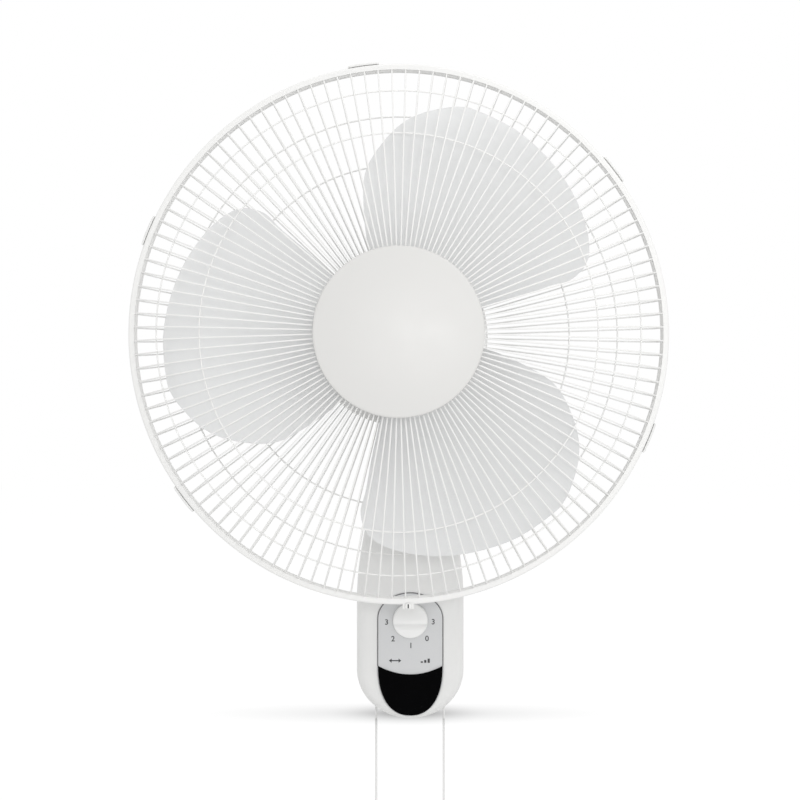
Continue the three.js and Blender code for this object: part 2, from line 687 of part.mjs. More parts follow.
function frontHousing() {
  const shell = cut(bodyForm(0), bodyForm(SHELL)).intersect(halfSpace(true));
  const postStart = -SPLIT_DEPTH - FIT / 2;
  const posts = SCREW_PLACES.map(([x, z]) =>
    post(POST_RADIUS, -BODY_DEPTH + SHELL - BITE, postStart, x, z));
  const bores = SCREW_PLACES.map(([x, z]) =>
    post(SCREW_RADIUS + FIT, -SCREW_SEAT - SCREW_REACH - OVER, 0, x, z));
  const recess = solid(frontPlate(panelShape(FIT), -BODY_DEPTH - OVER, -BODY_DEPTH + PANEL_RECESS));
  const stem = post(SWITCH_STEM + RUN, -BODY_DEPTH - OVER, -SPLIT_DEPTH, 0, KNOB_Z);
  return cut(join(shell, ...posts), ...bores, recess, stem, neckSlot(), ...bushHoles());
}

/** The panel's outline: an arch above, the bottom of an egg below, grown by a margin. */
function panelShape(margin) {
  const half = PANEL_HALF_WIDTH + margin;
  const archTop = PANEL_TOP + margin;
  const arch = arc(0, 0, 1, 0, 180, 10).map(([across, up]) => [
    half * across,
    archTop - PANEL_ARCH + PANEL_ARCH * up,
  ]);
  const foot = arc(0, 0, 1, 180, 360, 10).map(([across, up]) => [
    half * across,
    PANEL_BOTTOM - margin + PANEL_FOOT + PANEL_FOOT * up,
  ]);
  return outline([...arch, ...foot]);
}

/** The dark window's outline, which is the panel's foot below a sagging upper edge. */
function windowShape() {
  const half = PANEL_HALF_WIDTH - WINDOW_MARGIN;
  const rise = WINDOW_TOP - (PANEL_BOTTOM + PANEL_FOOT);
  const foot = arc(0, 0, 1, 180, 360, 10).map(([across, up]) => [
    half * across,
    PANEL_BOTTOM + WINDOW_MARGIN + PANEL_FOOT + PANEL_FOOT * up,
  ]);
  const edge = [0.5, 0, -0.5].map((part) => [
    half * part,
    PANEL_BOTTOM + PANEL_FOOT + rise - WINDOW_SAG * (1 - part * part),
  ]);
  return outline([...foot, [half, WINDOW_TOP], ...edge, [-half, WINDOW_TOP]]);
}

function controlPanel() {
  const plate = solid(frontPlate(panelShape(0), PANEL_FRONT, PANEL_FRONT + PANEL_PLATE));
  return cut(plate, post(SWITCH_STEM + RUN, PANEL_FRONT - OVER, 0, 0, KNOB_Z));
}

function windowLens() {
  const back = PANEL_FRONT - FIT;
  return frontPlate(windowShape(), back - WINDOW_PLATE, back);
}

function speedKnob() {
  const back = PANEL_FRONT - RUN;
  const skirt = KNOB_HEIGHT * 0.4;
  const body = solid(revolve([
    [SWITCH_STEM + FIT, back],
    [SWITCH_STEM + FIT, back - skirt * 0.7],
    [0, back - skirt * 0.7],
    [0, back - skirt],
    [KNOB_RADIUS - KNOB_EDGE, back - skirt],
    [KNOB_RADIUS, back - skirt + KNOB_EDGE],
    [KNOB_RADIUS, back],
  ].reverse(), 18).translate(0, 0, KNOB_Z));
  const ridge = solid(block(
    [-KNOB_RADIUS + KNOB_EDGE, back - KNOB_HEIGHT, KNOB_Z - KNOB_GRIP],
    [KNOB_RADIUS - KNOB_EDGE, back - skirt + OVER, KNOB_Z + KNOB_GRIP],
  ));
  return join(body, ridge);
}

/** The rotary speed switch, its spindle and the arm that the right-hand cord pulls. */
function speedSwitch() {
  const half = SWITCH_SIZE / 2;
  const back = -SWITCH_BACK;
  const front = back - SWITCH_DEPTH;
  const spindleEnd = PANEL_FRONT - RUN - KNOB_HEIGHT * 0.2;
  const box = solid(block([-half, front, KNOB_Z - half], [half, back, KNOB_Z + half]));
  const spindle = post(SWITCH_STEM, spindleEnd, front + BITE, 0, KNOB_Z);
  const arm = solid(block(
    [half - BITE, CORD_Y - ARM_HALF, CORD_TOP + FIT],
    [CORD_X + ARM_HALF, CORD_Y + ARM_HALF, KNOB_Z],
  ));
  return join(box, spindle, arm);
}

function swingSwitch() {
  const half = SWING_SWITCH_WIDTH / 2;
  const back = -SWITCH_BACK;
  return block(
    [-CORD_X - half, back - SWITCH_DEPTH, CORD_TOP + FIT],
    [-CORD_X + half, back, CORD_TOP + FIT + SWING_SWITCH_HEIGHT],
  );
}

function cordBush(hand) {
  return revolveUp([
    [BUSH_BORE, BUSH_BOTTOM],
    [BUSH_RADIUS, BUSH_BOTTOM],
    [BUSH_RADIUS, BUSH_TOP + FIT],
    [BUSH_FLANGE, BUSH_TOP + FIT],
    [BUSH_FLANGE, BUSH_TOP + FIT + BUSH_BRIM],
    [BUSH_BORE, BUSH_TOP + FIT + BUSH_BRIM],
  ], 8, hand * CORD_X, CORD_Y);
}

/** A pull cord as an eight-sided tube that hangs straight down. */
function pullCord(hand) {
  const steps = Math.round((CORD_TOP - CORD_END) / CORD_STEP);
  const section = new THREE.Shape();
  section.absarc(0, 0, CORD_RADIUS, 0, Math.PI * 2);
  const path = new THREE.LineCurve3(
    new THREE.Vector3(hand * CORD_X, CORD_Y, CORD_TOP),
    new THREE.Vector3(hand * CORD_X, CORD_Y, CORD_END),
  );
  return new THREE.ExtrudeGeometry(section, {
    steps,
    curveSegments: CORD_SIDES / 2,
    extrudePath: path,
    bevelEnabled: false,
  });
}

function pullHandle(hand) {
  const top = CORD_END - FIT;
  const bottom = top - PULL_HEIGHT;
  return revolveUp([
    [0, bottom],
    [PULL_RADIUS * 0.7, bottom],
    [PULL_RADIUS, bottom + PULL_HEIGHT * 0.2],
    [PULL_RADIUS * 0.8, bottom + PULL_HEIGHT * 0.55],
    [PULL_RADIUS * 0.4, top],
    [0, top],
  ], 8, hand * CORD_X, CORD_Y);
}

function cableGland() {
  return revolveUp([
    [GLAND_BORE, GLAND_BOTTOM],
    [GLAND_RADIUS + GLAND_BRIM, GLAND_BOTTOM],
    [GLAND_RADIUS + GLAND_BRIM, GLAND_BOTTOM + GLAND_FLANGE],
    [GLAND_RADIUS, GLAND_BOTTOM + GLAND_FLANGE],
    [GLAND_RADIUS, GLAND_TOP],
    [GLAND_BORE, GLAND_TOP],
  ], 10, GLAND_X, GLAND_Y);
}

function capacitor() {
  const front = -CAPACITOR_SEAT - CAPACITOR_DEPTH;
  const [w, h] = [CAPACITOR_WIDTH / 2, CAPACITOR_HEIGHT / 2];
  return block([-w, front, CAPACITOR_Z - h], [w, -CAPACITOR_SEAT, CAPACITOR_Z + h]);
}

function terminalBlock() {
  const front = -TERMINAL_SEAT - TERMINAL_DEPTH;
  const [w, h] = [TERMINAL_WIDTH / 2, TERMINAL_HEIGHT / 2];
  const body = solid(block([-w, front, TERMINAL_Z - h], [w, -TERMINAL_SEAT, TERMINAL_Z + h]));
  const wells = [-1, 0, 1].map((side) =>
    post(TERMINAL_WIDTH / 12, front - 1, front + 6, (side * TERMINAL_WIDTH) / 3.4, TERMINAL_Z));
  return cut(body, ...wells);
}

function housingScrew([x, z]) {
  const seat = -SCREW_SEAT + FIT;
  return revolve([
    [0, seat + SCREW_CAP],
    [SCREW_HEAD, seat + SCREW_CAP],
    [SCREW_HEAD, seat],
    [SCREW_RADIUS, seat],
    [SCREW_RADIUS, seat - SCREW_REACH],
    [0, seat - SCREW_REACH],
  ], 6).translate(x, 0, z);
}

function keyhole(x) {
  const rise = KEYHOLE_Z + KEYHOLE_RISE;
  const head = solid(revolve(rod(KEYHOLE_HEAD, -BRACKET_PLATE - 1, 1), 10).translate(x, 0, KEYHOLE_Z));
  const neck = solid(block([x - KEYHOLE_NECK, -BRACKET_PLATE - 1, KEYHOLE_Z], [x + KEYHOLE_NECK, 1, rise]));
  const end = solid(revolve(rod(KEYHOLE_NECK, -BRACKET_PLATE - 1, 1), 8).translate(x, 0, rise));
  return join(head, neck, end);
}

function wallBracket() {
  const [w, h] = [BRACKET_WIDTH / 2, BRACKET_HEIGHT / 2];
  const corner = BRACKET_CORNER;
  const sheet = outline([
    ...arc(w - corner, h - corner, corner, 0, 90, 3),
    ...arc(-w + corner, h - corner, corner, 90, 180, 3),
    ...arc(-w + corner, -h + corner, corner, 180, 270, 3),
    ...arc(w - corner, -h + corner, corner, 270, 360, 3),
  ]);
  const plate = solid(frontPlate(sheet, -BRACKET_PLATE, 0));
  const hooks = [-1, 1].map((hand) => hook((hand * HOOK_SPACING) / 2));
  const holes = [-1, 1].map((hand) => keyhole((hand * KEYHOLE_SPACING) / 2));
  return cut(join(plate, ...hooks), ...holes);
}

/** A tab that stands forward through the housing and turns up behind its wall. */
function hook(x) {
  const half = HOOK_WIDTH / 2;
  const lipBack = SHELL_BACK - FIT;
  const lipFront = lipBack - BRACKET_PLATE;
  const tabBottom = HOOK_Z - BRACKET_PLATE;
  const tab = solid(block([x - half, lipFront, tabBottom], [x + half, -BRACKET_PLATE + BITE, HOOK_Z]));
  const lip = solid(block([x - half, lipFront, tabBottom], [x + half, lipBack, HOOK_Z + HOOK_LIP]));
  return join(tab, lip);
}

// ================================================================ tilt joint and neck
function tiltBolt() {
  const seat = -BOLT_REACH - FIT;
  return revolveAcross([
    [0, seat - BOLT_CAP],
    [BOLT_HEAD, seat - BOLT_CAP],
    [BOLT_HEAD, seat],
    [BOLT_RADIUS, seat],
    [BOLT_RADIUS, BOLT_REACH + BOLT_TAIL],
    [0, BOLT_REACH + BOLT_TAIL],
  ], 12, TILT_Y, TILT_Z);
}

function tiltNut() {
  const seat = BOLT_REACH + FIT;
  const end = seat + NUT_HEIGHT;
  return cut(
    solid(revolveAcross(rod(NUT_RADIUS, seat, end), 6, TILT_Y, TILT_Z)),
    solid(revolveAcross(rod(BOLT_RADIUS + FIT, seat - OVER, end + OVER), 12, TILT_Y, TILT_Z)),
  );
}

/** The hood that rolls over the shoulder, with the round cup for the head's spindle above it. */
function tiltNeck() {
  const round = DOME_RADIUS + HOOD_GAP;
  const under = arc(TILT_Y, TILT_Z, round, 90 + HOOD_SPREAD, 90 - HOOD_SPREAD, 8);
  const back = SWING_Y + HOOD_HALF_DEPTH;
  const front = SWING_Y - HOOD_HALF_DEPTH;
  const side = outline([
    [front, HOOD_TOP],
    [front, HOOD_TOP - HOOD_BAND],
    ...under,
    [back, HOOD_TOP - HOOD_BAND],
    [back, HOOD_TOP],
  ]);
  const plan = arc(0, 0, 1, 0, 360, 16).slice(0, -1).map(([u, v]) => [
    HOOD_HALF_WIDTH * squared(u),
    (front + back) / 2 + 2 + (HOOD_HALF_DEPTH + 4) * squared(v),
  ]);
  const hood = solid(sidePlate(side, -HOOD_HALF_WIDTH, HOOD_HALF_WIDTH))
    .intersect(solid(levelPlate(outline(plan), TILT_Z, HOOD_TOP)));
  const stem = solid(sidePlate(outline([
    [TILT_Y - STEM_HALF, TILT_Z],
    [TILT_Y + STEM_HALF, TILT_Z],
    [TILT_Y + STEM_HALF, TILT_Z + round + BITE],
    [TILT_Y - STEM_HALF, TILT_Z + round + BITE],
  ]), -TONGUE_HALF, TONGUE_HALF));
  const eye = solid(revolveAcross(rod(TONGUE_RADIUS, -TONGUE_HALF, TONGUE_HALF), 14, TILT_Y, TILT_Z));
  const cup = solid(revolveUp(rod(CUP_RADIUS, HOOD_TOP - CUP_SINK, CUP_TOP), 16, 0, SWING_Y));
  const lug = solid(revolveUp(rod(PIN_LUG, HOOD_TOP - CUP_SINK, CUP_TOP), 10, -LINK_OFFSET, SWING_Y));
  const pin = solid(revolveUp(rod(LINK_PIN, CUP_TOP - OVER, LINK_TOP + OVER), 8, -LINK_OFFSET, SWING_Y));
  const bore = solid(revolveUp(rod(CUP_BORE, CUP_FLOOR, CUP_TOP + OVER), 12, 0, SWING_Y));
  const boltHole = solid(revolveAcross(rod(BOLT_RADIUS + FIT, -BODY_HALF_WIDTH, BODY_HALF_WIDTH), 12,
    TILT_Y, TILT_Z));
  return cut(join(hood, stem, eye, cup, lug, pin), bore, boltHole);
}

/** Flattens a circle's ordinate a little, for a rounded rectangle. */
function squared(value) {
  return Math.sign(value) * Math.abs(value) ** 0.7;
}

function swingBushing() {
  const inner = SPINDLE_RADIUS + FIT;
  return revolveUp([
    [inner, CUP_FLOOR + FIT],
    [CUP_BORE - FIT, CUP_FLOOR + FIT],
    [CUP_BORE - FIT, CUP_TOP + FIT],
    [CUP_BORE + BUSHING_BRIM, CUP_TOP + FIT],
    [CUP_BORE + BUSHING_BRIM, BUSHING_TOP],
    [inner, BUSHING_TOP],
  ], 12, 0, SWING_Y);
}

// ================================================================ head, seen from the motor axis
/** Turns a place in the wall's frame into the head's own frame. */
function headed(geometry) {
  return geometry.translate(-HEAD_X, 0, -HEAD_Z);
}

/** The bearing shield at one end of the stator. */
function shield(front) {
  const turn = front ? -1 : 1;
  const seat = front ? STATOR_FRONT : STATOR_BACK;
  const y = (distance) => seat + turn * distance;
  const bossEnd = SHIELD_DEPTH + BEARING_LENGTH / 2;
  const profile = [
    [BEARING_RADIUS + FIT, y(SHIELD_DEPTH - BEARING_LENGTH / 2)],
    [SHIELD_BOSS, y(SHIELD_DEPTH - BEARING_LENGTH / 2)],
    [SHIELD_BOSS, y(SHIELD_DEPTH - SHIELD_WALL)],
    [STATOR_RADIUS - SHIELD_WALL, y(SHIELD_DEPTH - SHIELD_WALL)],
    [STATOR_RADIUS - SHIELD_WALL, y(FIT)],
    [STATOR_RADIUS, y(FIT)],
    [STATOR_RADIUS, y(SHIELD_DEPTH)],
    [SHIELD_BOSS, y(SHIELD_DEPTH)],
    [SHIELD_BOSS, y(bossEnd)],
    [BEARING_RADIUS + FIT, y(bossEnd)],
  ];
  const cup = solid(revolve(profile, 14));
  const vents = [0, 1, 2].map((i) => {
    const radius = (SHIELD_BOSS + STATOR_RADIUS) / 2;
    const hole = revolve(rod(6, y(SHIELD_DEPTH - 4), y(SHIELD_DEPTH + 2)), 6).translate(radius, 0, 0);
    return solid(spun(hole, 30 + 120 * i));
  });
  return cut(cup, ...vents);
}

/** The laminated stator with open slots towards the rotor. */
function statorCore() {
  const bodyRadius = STATOR_RADIUS - FIT;
  const shape = outline(arc(0, 0, bodyRadius, 0, 360, 24).slice(0, -1));
  const bore = [];
  const pitch = 360 / STATOR_SLOTS;
  const slotDepth = WINDING_OUTER;
  for (let i = 0; i < STATOR_SLOTS; i += 1) {
    const middle = i * pitch;
    bore.push(
      ...arc(0, 0, STATOR_BORE, middle - pitch * 0.3, middle + pitch * 0.3, 1),
      ...arc(0, 0, slotDepth, middle + pitch * 0.38, middle + pitch * 0.62, 1),
    );
  }
  shape.holes.push(new THREE.Path(bore.map(([u, v]) => new THREE.Vector2(u, v))));
  return frontPlate(shape, STATOR_FRONT, STATOR_BACK);
}

function winding(front) {
  const seat = front ? STATOR_FRONT - FIT : STATOR_BACK + FIT;
  const turn = front ? -1 : 1;
  const far = seat + turn * WINDING_DEPTH;
  return revolve([
    [WINDING_INNER, seat],
    [WINDING_OUTER, seat],
    [WINDING_OUTER, far - turn * 3],
    [WINDING_OUTER - 3, far],
    [WINDING_INNER + 3, far],
    [WINDING_INNER, far - turn * 3],
  ], 14);
}

function bearing(front) {
  const middle = front ? SHIELD_FRONT : SHIELD_REAR;
  const half = BEARING_LENGTH / 2;
  return revolve(tube(SHAFT_RADIUS + FIT, BEARING_RADIUS, middle - half, middle + half), 10);
}

function rotorCore() {
  return revolve(tube(SHAFT_RADIUS + FIT, STATOR_BORE - RUN, STATOR_FRONT, STATOR_BACK), 16);
}

function motorShaft() {
  const body = solid(revolve(rod(SHAFT_RADIUS, SHAFT_FRONT, SHIELD_REAR + BEARING_LENGTH / 2), 12));
  const hole = solid(revolveAcross(
    rod(DRIVE_PIN_RADIUS + FIT, -SHAFT_RADIUS * 2, SHAFT_RADIUS * 2), 8, DRIVE_PIN_Y, 0));
  return cut(body, hole);
}

function drivePin() {
  const half = DRIVE_PIN_LENGTH / 2;
  return revolveAcross(rod(DRIVE_PIN_RADIUS, -half, half), 8, DRIVE_PIN_Y, 0);
}

/** The bracket behind the motor: plate, shelf for the swing motor, boss and spindle. */
function motorMount() {
  const plate = solid(revolve(tube(SHAFT_RADIUS + RUN, MOUNT_RADIUS, MOUNT_FRONT, MOUNT_BACK), 16));
  const shelf = solid(headed(block(
    [CRANK_X - SWING_MOTOR_RADIUS - 2, MOUNT_FRONT, SHELF_BELOW],
    [SPINDLE_RADIUS + 6, CRANK_Y + 6, SHELF_BELOW + SHELF_THICK],
  )));
  const boss = solid(headed(revolveUp(
    rod(SPINDLE_RADIUS + SPINDLE_BOSS, LINK_TOP + RUN, SHELF_BELOW + SHELF_THICK), 16, 0, SWING_Y)));
  const spindle = solid(headed(revolveUp(
    rod(SPINDLE_RADIUS, CUP_FLOOR + 2, LINK_TOP + 2), 16, 0, SWING_Y)));
  const collar = solid(headed(revolveUp(
    rod(SPINDLE_RADIUS + SPINDLE_STEP, BUSHING_TOP + FIT, LINK_TOP + 2), 16, 0, SWING_Y)));
  const tailPost = solid(revolve(rod(TAIL_POST_RADIUS, MOUNT_BACK - OVER, TAIL_POST_END), 10)
    .translate(0, 0, TAIL_POST_Z));
  const tailBore = solid(revolve(rod(TAIL_SCREW + FIT, TAIL_POST_END - 12, TAIL_POST_END + OVER), 8)
    .translate(0, 0, TAIL_POST_Z));
  const web = solid(headed(block(
    [-3, MOUNT_FRONT, SHELF_BELOW + SHELF_THICK - 1],
    [3, SWING_Y + SPINDLE_RADIUS, SHELF_BELOW + SHELF_THICK + 10],
  )));
  return cut(join(plate, shelf, boss, collar, spindle, web, tailPost), tailBore);
}

function swingMotor() {
  const top = SHELF_BELOW - FIT;
  const bottom = top - SWING_MOTOR_HEIGHT;
  const crankFloor = LINK_TOP + FIT;
  const can = solid(headed(revolveUp(rod(SWING_MOTOR_RADIUS, bottom, top), 14, CRANK_X, CRANK_Y)));
  const stub = solid(headed(revolveUp(rod(CRANK_SHAFT, crankFloor, bottom + 1), 10, CRANK_X, CRANK_Y)));
  return join(can, stub);
}

/** The crank on the swing motor: a disc with one pin that reaches down into the link. */
function swingCrank() {
  const bottom = LINK_TOP + FIT;
  const disc = solid(headed(revolveUp(
    rod(CRANK_RADIUS + LINK_PIN + 2, bottom, bottom + CRANK_PLATE), 16, CRANK_X, CRANK_Y)));
  const pin = solid(headed(revolveUp(
    rod(LINK_PIN, LINK_BOTTOM, bottom + 1), 8, CRANK_PIN_X, CRANK_Y)));
  const bore = solid(headed(revolveUp(
    rod(CRANK_SHAFT + FIT, bottom - 1, bottom + CRANK_PLATE + 1), 10, CRANK_X, CRANK_Y)));
  return cut(join(disc, pin), bore);
}

/** How far the neck's pin moves in the link's eye, sideways and along, as the head swings. */
function eyePlay() {
  const swing = radians(SWING_RANGE);
  const crank = swing * CRANK_RATIO;
  const aside = LINK_OFFSET * (1 - Math.cos(swing)) - CRANK_RADIUS * (1 - Math.cos(crank));
  const along = LINK_OFFSET * Math.sin(swing) - CRANK_RADIUS * Math.sin(crank);
  return [Math.abs(aside), Math.abs(along)];
}

/** The link from the crank's pin to the neck's pin, with a long eye at the neck. */
function swingLink() {
  const [aside, along] = eyePlay();
  const reach = LINK_PIN + FIT;
  const slab = (grow, below, above) => solid(headed(block(
    [-LINK_OFFSET - aside - reach - grow, SWING_Y - along - reach - grow, below],
    [-LINK_OFFSET + reach + grow, SWING_Y + along + reach + grow, above],
  )));
  const round = (radius, below, above) =>
    solid(headed(revolveUp(rod(radius, below, above), 12, CRANK_PIN_X, CRANK_Y)));
  const bar = solid(headed(block(
    [CRANK_PIN_X - LINK_HALF, SWING_Y, LINK_BOTTOM],
    [CRANK_PIN_X + LINK_HALF, CRANK_Y, LINK_TOP],
  )));
  const made = join(bar, round(LINK_HALF, LINK_BOTTOM, LINK_TOP), slab(LINK_RIM, LINK_BOTTOM, LINK_TOP));
  return cut(made, round(reach, LINK_BOTTOM - OVER, LINK_TOP + OVER),
    slab(0, LINK_BOTTOM - OVER, LINK_TOP + OVER));
}

/** The rear motor cover: a drum with a round tail, air slots and a hole for the neck. */
function rearCover() {
  const shape = (drawnIn) => [
    [0, COVER_TAIL - drawnIn],
    [COVER_RADIUS - TAIL_ROUND * 2, COVER_TAIL - drawnIn],
    [COVER_RADIUS - TAIL_ROUND - drawnIn * 0.7, COVER_TAIL - 6 - drawnIn * 0.7],
    [COVER_RADIUS - 6 - drawnIn, COVER_STRAIGHT_END + COVER_TAPER * 0.54],
    [COVER_RADIUS - drawnIn, COVER_STRAIGHT_END],
    [COVER_RADIUS - drawnIn, COVER_SPLIT + FIT / 2],
    [0, COVER_SPLIT + FIT / 2],
  ];
  const outer = solid(revolve(shape(0), COVER_STEPS));
  const innerShape = shape(COVER_WALL);
  innerShape[5][1] -= 5;
  innerShape[6][1] -= 5;
  const shell = cut(outer, solid(revolve(innerShape, COVER_STEPS)));
  const throat = LINK_OFFSET + PIN_LUG + CABLE_MARGIN;
  const neckHole = solid(headed(revolveUp(rod(throat, HOOD_TOP - 5, CUP_TOP + 12), 20, 0, SWING_Y)));
  const hole = rod(TAIL_SCREW + RUN + FIT, COVER_TAIL - COVER_WALL * 2, COVER_TAIL + OVER);
  const screwHole = solid(revolve(hole, 8).translate(0, 0, TAIL_POST_Z));
  return cut(shell, neckHole, screwHole, ...airSlots());
}

/** Slots in the cover's upper half, over the motor. */
function airSlots() {
  const slots = [];
  for (let i = 0; i < AIR_SLOTS; i += 1) {
    const slot = block(
      [COVER_RADIUS - SLOT_BITE, COVER_SPLIT + SLOT_START, -SLOT_HALF],
      [COVER_RADIUS + OVER, COVER_STRAIGHT_END - COVER_EDGE, SLOT_HALF],
    );
    slots.push(solid(spun(slot, SLOT_FIRST + (SLOT_FAN / (AIR_SLOTS - 1)) * i)));
  }
  return slots;
}

function coverScrew() {
  const seat = COVER_TAIL + FIT;
  return revolve([
    [0, seat + SCREW_CAP],
    [TAIL_SCREW_HEAD, seat + SCREW_CAP],
    [TAIL_SCREW_HEAD, seat],
    [TAIL_SCREW, seat],
    [TAIL_SCREW, TAIL_POST_END - TAIL_SCREW_REACH],
    [0, TAIL_POST_END - TAIL_SCREW_REACH],
  ], 6).translate(0, 0, TAIL_POST_Z);
}

/** The front motor cover: a dish with the threaded collar that carries the rear guard. */
function frontCover() {
  const skirt = COVER_SPLIT - FIT / 2;
  const boss = SHIELD_FRONT - BEARING_LENGTH / 2 - FIT;
  const inner = COVER_RADIUS - COVER_WALL;
  const dish = solid(revolve([
    [BEARING_RADIUS, boss],
    [SHIELD_BOSS + 2, boss],
    [SHIELD_BOSS + 2, COVER_FRONT + COVER_WALL],
    [inner - COVER_EDGE * 0.75, COVER_FRONT + COVER_WALL],
    [inner, COVER_FRONT + COVER_WALL + COVER_EDGE * 0.75],
    [inner, skirt],
    [COVER_RADIUS, skirt],
    [COVER_RADIUS, COVER_FRONT + COVER_EDGE],
    [COVER_RADIUS - COVER_EDGE, COVER_FRONT],
    [COLLAR_RADIUS, COVER_FRONT],
    [COLLAR_RADIUS, COVER_FRONT - COLLAR_LENGTH],
    [COLLAR_RADIUS - COLLAR_WALL, COVER_FRONT - COLLAR_LENGTH],
    [COLLAR_RADIUS - COLLAR_WALL, COVER_FRONT],
    [BEARING_RADIUS, COVER_FRONT],
  ], COVER_STEPS));
  return dish;
}

// ================================================================ guards
/** A wire of three sides along points [radius, y], at angle 0, with its flat side to the cage. */
function wire(points, radius, outward) {
  const path = points.map(([r, y]) => new THREE.Vector3(r, y, 0));
  const positions = [];
  const corners = [];
  const sides = 3;
  path.forEach((point, i) => {
    const before = path[Math.max(i - 1, 0)];
    const after = path[Math.min(i + 1, path.length - 1)];
    const along = after.clone().sub(before).normalize();
    const out = new THREE.Vector3(along.y, -along.x, 0);
    if (out.y * outward < 0) out.negate();
    for (let k = 0; k < sides; k += 1) {
      const angle = (k / sides) * Math.PI * 2;
      const offset = out.clone().multiplyScalar(radius * Math.cos(angle));
      positions.push(point.x + offset.x, point.y + offset.y, radius * Math.sin(angle));
    }
  });
  for (let i = 0; i < path.length - 1; i += 1) {
    for (let k = 0; k < sides; k += 1) {
      const a = i * sides + k;
      const b = i * sides + ((k + 1) % sides);
      corners.push(a, b, a + sides, b, b + sides, a + sides);
    }
  }
  const last = (path.length - 1) * sides;
  corners.push(0, 2, 1, last, last + 1, last + 2);
  const geometry = new THREE.BufferGeometry();
  geometry.setAttribute('position', new THREE.Float32BufferAttribute(positions, 3));
  geometry.setIndex(corners);
  return geometry;
}

function rimWire(y) {
  const half = RIM_WIRE / 2;
  return solid(revolve(tube(RIM_RADIUS - half, RIM_RADIUS + half, y - half, y + half), RIM_STEPS));
}

function middlePlate(inner, outer, y) {
  const half = PLATE_THICKNESS / 2;
  return solid(revolve(tube(inner, outer, y - half, y + half), PLATE_STEPS));
}

/** A guard: a rim wire and a middle plate joined by spokes of wire. */
function guard(path, rim, plate, outward) {
  const spoke = wire(path, WIRE_RADIUS, outward);
  const spokes = [];
  for (let i = 0; i < SPOKES; i += 1) {
    spokes.push(solid(spun(spoke, ((i + 0.5) * 360) / SPOKES)));
  }
  return wasm.Manifold.union([rim, plate, ...spokes]);
}

function frontGuard() {
  const plate = middlePlate(FRONT_PLATE_HOLE, FRONT_PLATE_RADIUS, FRONT_PLATE_Y);
  return guard(FRONT_PATH, rimWire(FRONT_RIM_Y), plate, -1);
}

function rearGuard() {
  const plate = middlePlate(COLLAR_RADIUS + RUN, REAR_PLATE_RADIUS, REAR_PLATE_Y);
  return guard(REAR_PATH, rimWire(REAR_RIM_Y), plate, 1);
}

/** A ring of wire that lies along the inner side of a guard's spokes. */
function wireRing(path, fromRim, outward) {
  const radius = RIM_RADIUS - fromRim;
  const i = path.findIndex(([r]) => r < radius);
  const [outer, outerY] = path[i - 1];
  const [inner, innerY] = path[i];
  const y = outerY + ((innerY - outerY) * (outer - radius)) / (outer - inner);
  const normal = new THREE.Vector2(innerY - outerY, outer - inner).normalize();
  normal.multiplyScalar(-outward);
  const reach = WIRE_RADIUS + FIT;
  const turn = THREE.MathUtils.radToDeg(normal.angle());
  const section = arc(radius + normal.x * reach, y + normal.y * reach, WIRE_RADIUS, turn, turn + 240, 2);
  return revolve(section, PLATE_STEPS);
}

/** The trim hoop round both rims, with lips at the front and back and a lug for the lock screw. */
function guardHoop() {
  const inside = GUARD_RADIUS - HOOP_WALL;
  const lip = GUARD_RADIUS - HOOP_LIP;
  const channel = solid(revolve([
    [GUARD_RADIUS, HOOP_FRONT],
    [GUARD_RADIUS, HOOP_REAR],
    [lip, HOOP_REAR],
    [inside, HOOP_REAR - HOOP_WALL],
    [inside, HOOP_FRONT + HOOP_WALL],
    [lip, HOOP_FRONT],
  ], RIM_STEPS));
  const lug = solid(spun(block(
    [inside + 0.4, HOOP_FRONT, -LOCK_HALF],
    [LOCK_RADIUS + 3, HOOP_REAR, LOCK_HALF],
  ), LOCK_ANGLE));
  const bore = solid(spun(revolve(rod(LOCK_SCREW + FIT, HOOP_FRONT - OVER, HOOP_REAR + OVER), 8)
    .translate(LOCK_RADIUS, 0, 0), LOCK_ANGLE));
  return cut(join(channel, lug), bore);
}

function lockScrew() {
  const seat = HOOP_FRONT - FIT;
  return spun(revolve([
    [0, seat - 2],
    [2.6, seat - 2],
    [3, seat],
    [LOCK_SCREW, seat],
    [LOCK_SCREW, HOOP_REAR + 5],
    [0, HOOP_REAR + 5],
  ], 6).translate(LOCK_RADIUS, 0, 0), LOCK_ANGLE);
}

function lockNut() {
  const seat = HOOP_REAR + FIT;
  return spun(revolve(tube(LOCK_SCREW + FIT, LOCK_NUT, seat, seat + LOCK_NUT), 6)
    .translate(LOCK_RADIUS, 0, 0), LOCK_ANGLE);
}

/** A guard clip: hinged at the hoop's front edge, over its outside and hooked behind it. */
function guardClip() {
  const under = GUARD_RADIUS + FIT;
  const over = under + CLIP_PLATE;
  const hookIn = GUARD_RADIUS - HOOP_LIP + 1;
  const section = outline([
    [under, HOOP_FRONT + 0.6],
    [over, HOOP_FRONT + 0.6],
    [over, HOOP_REAR + FIT + CLIP_PLATE],
    [hookIn, HOOP_REAR + FIT + CLIP_PLATE],
    [hookIn, HOOP_REAR + FIT],
    [under, HOOP_REAR + FIT],
  ]);
  return levelPlate(section, -CLIP_LENGTH / 2, CLIP_LENGTH / 2);
}

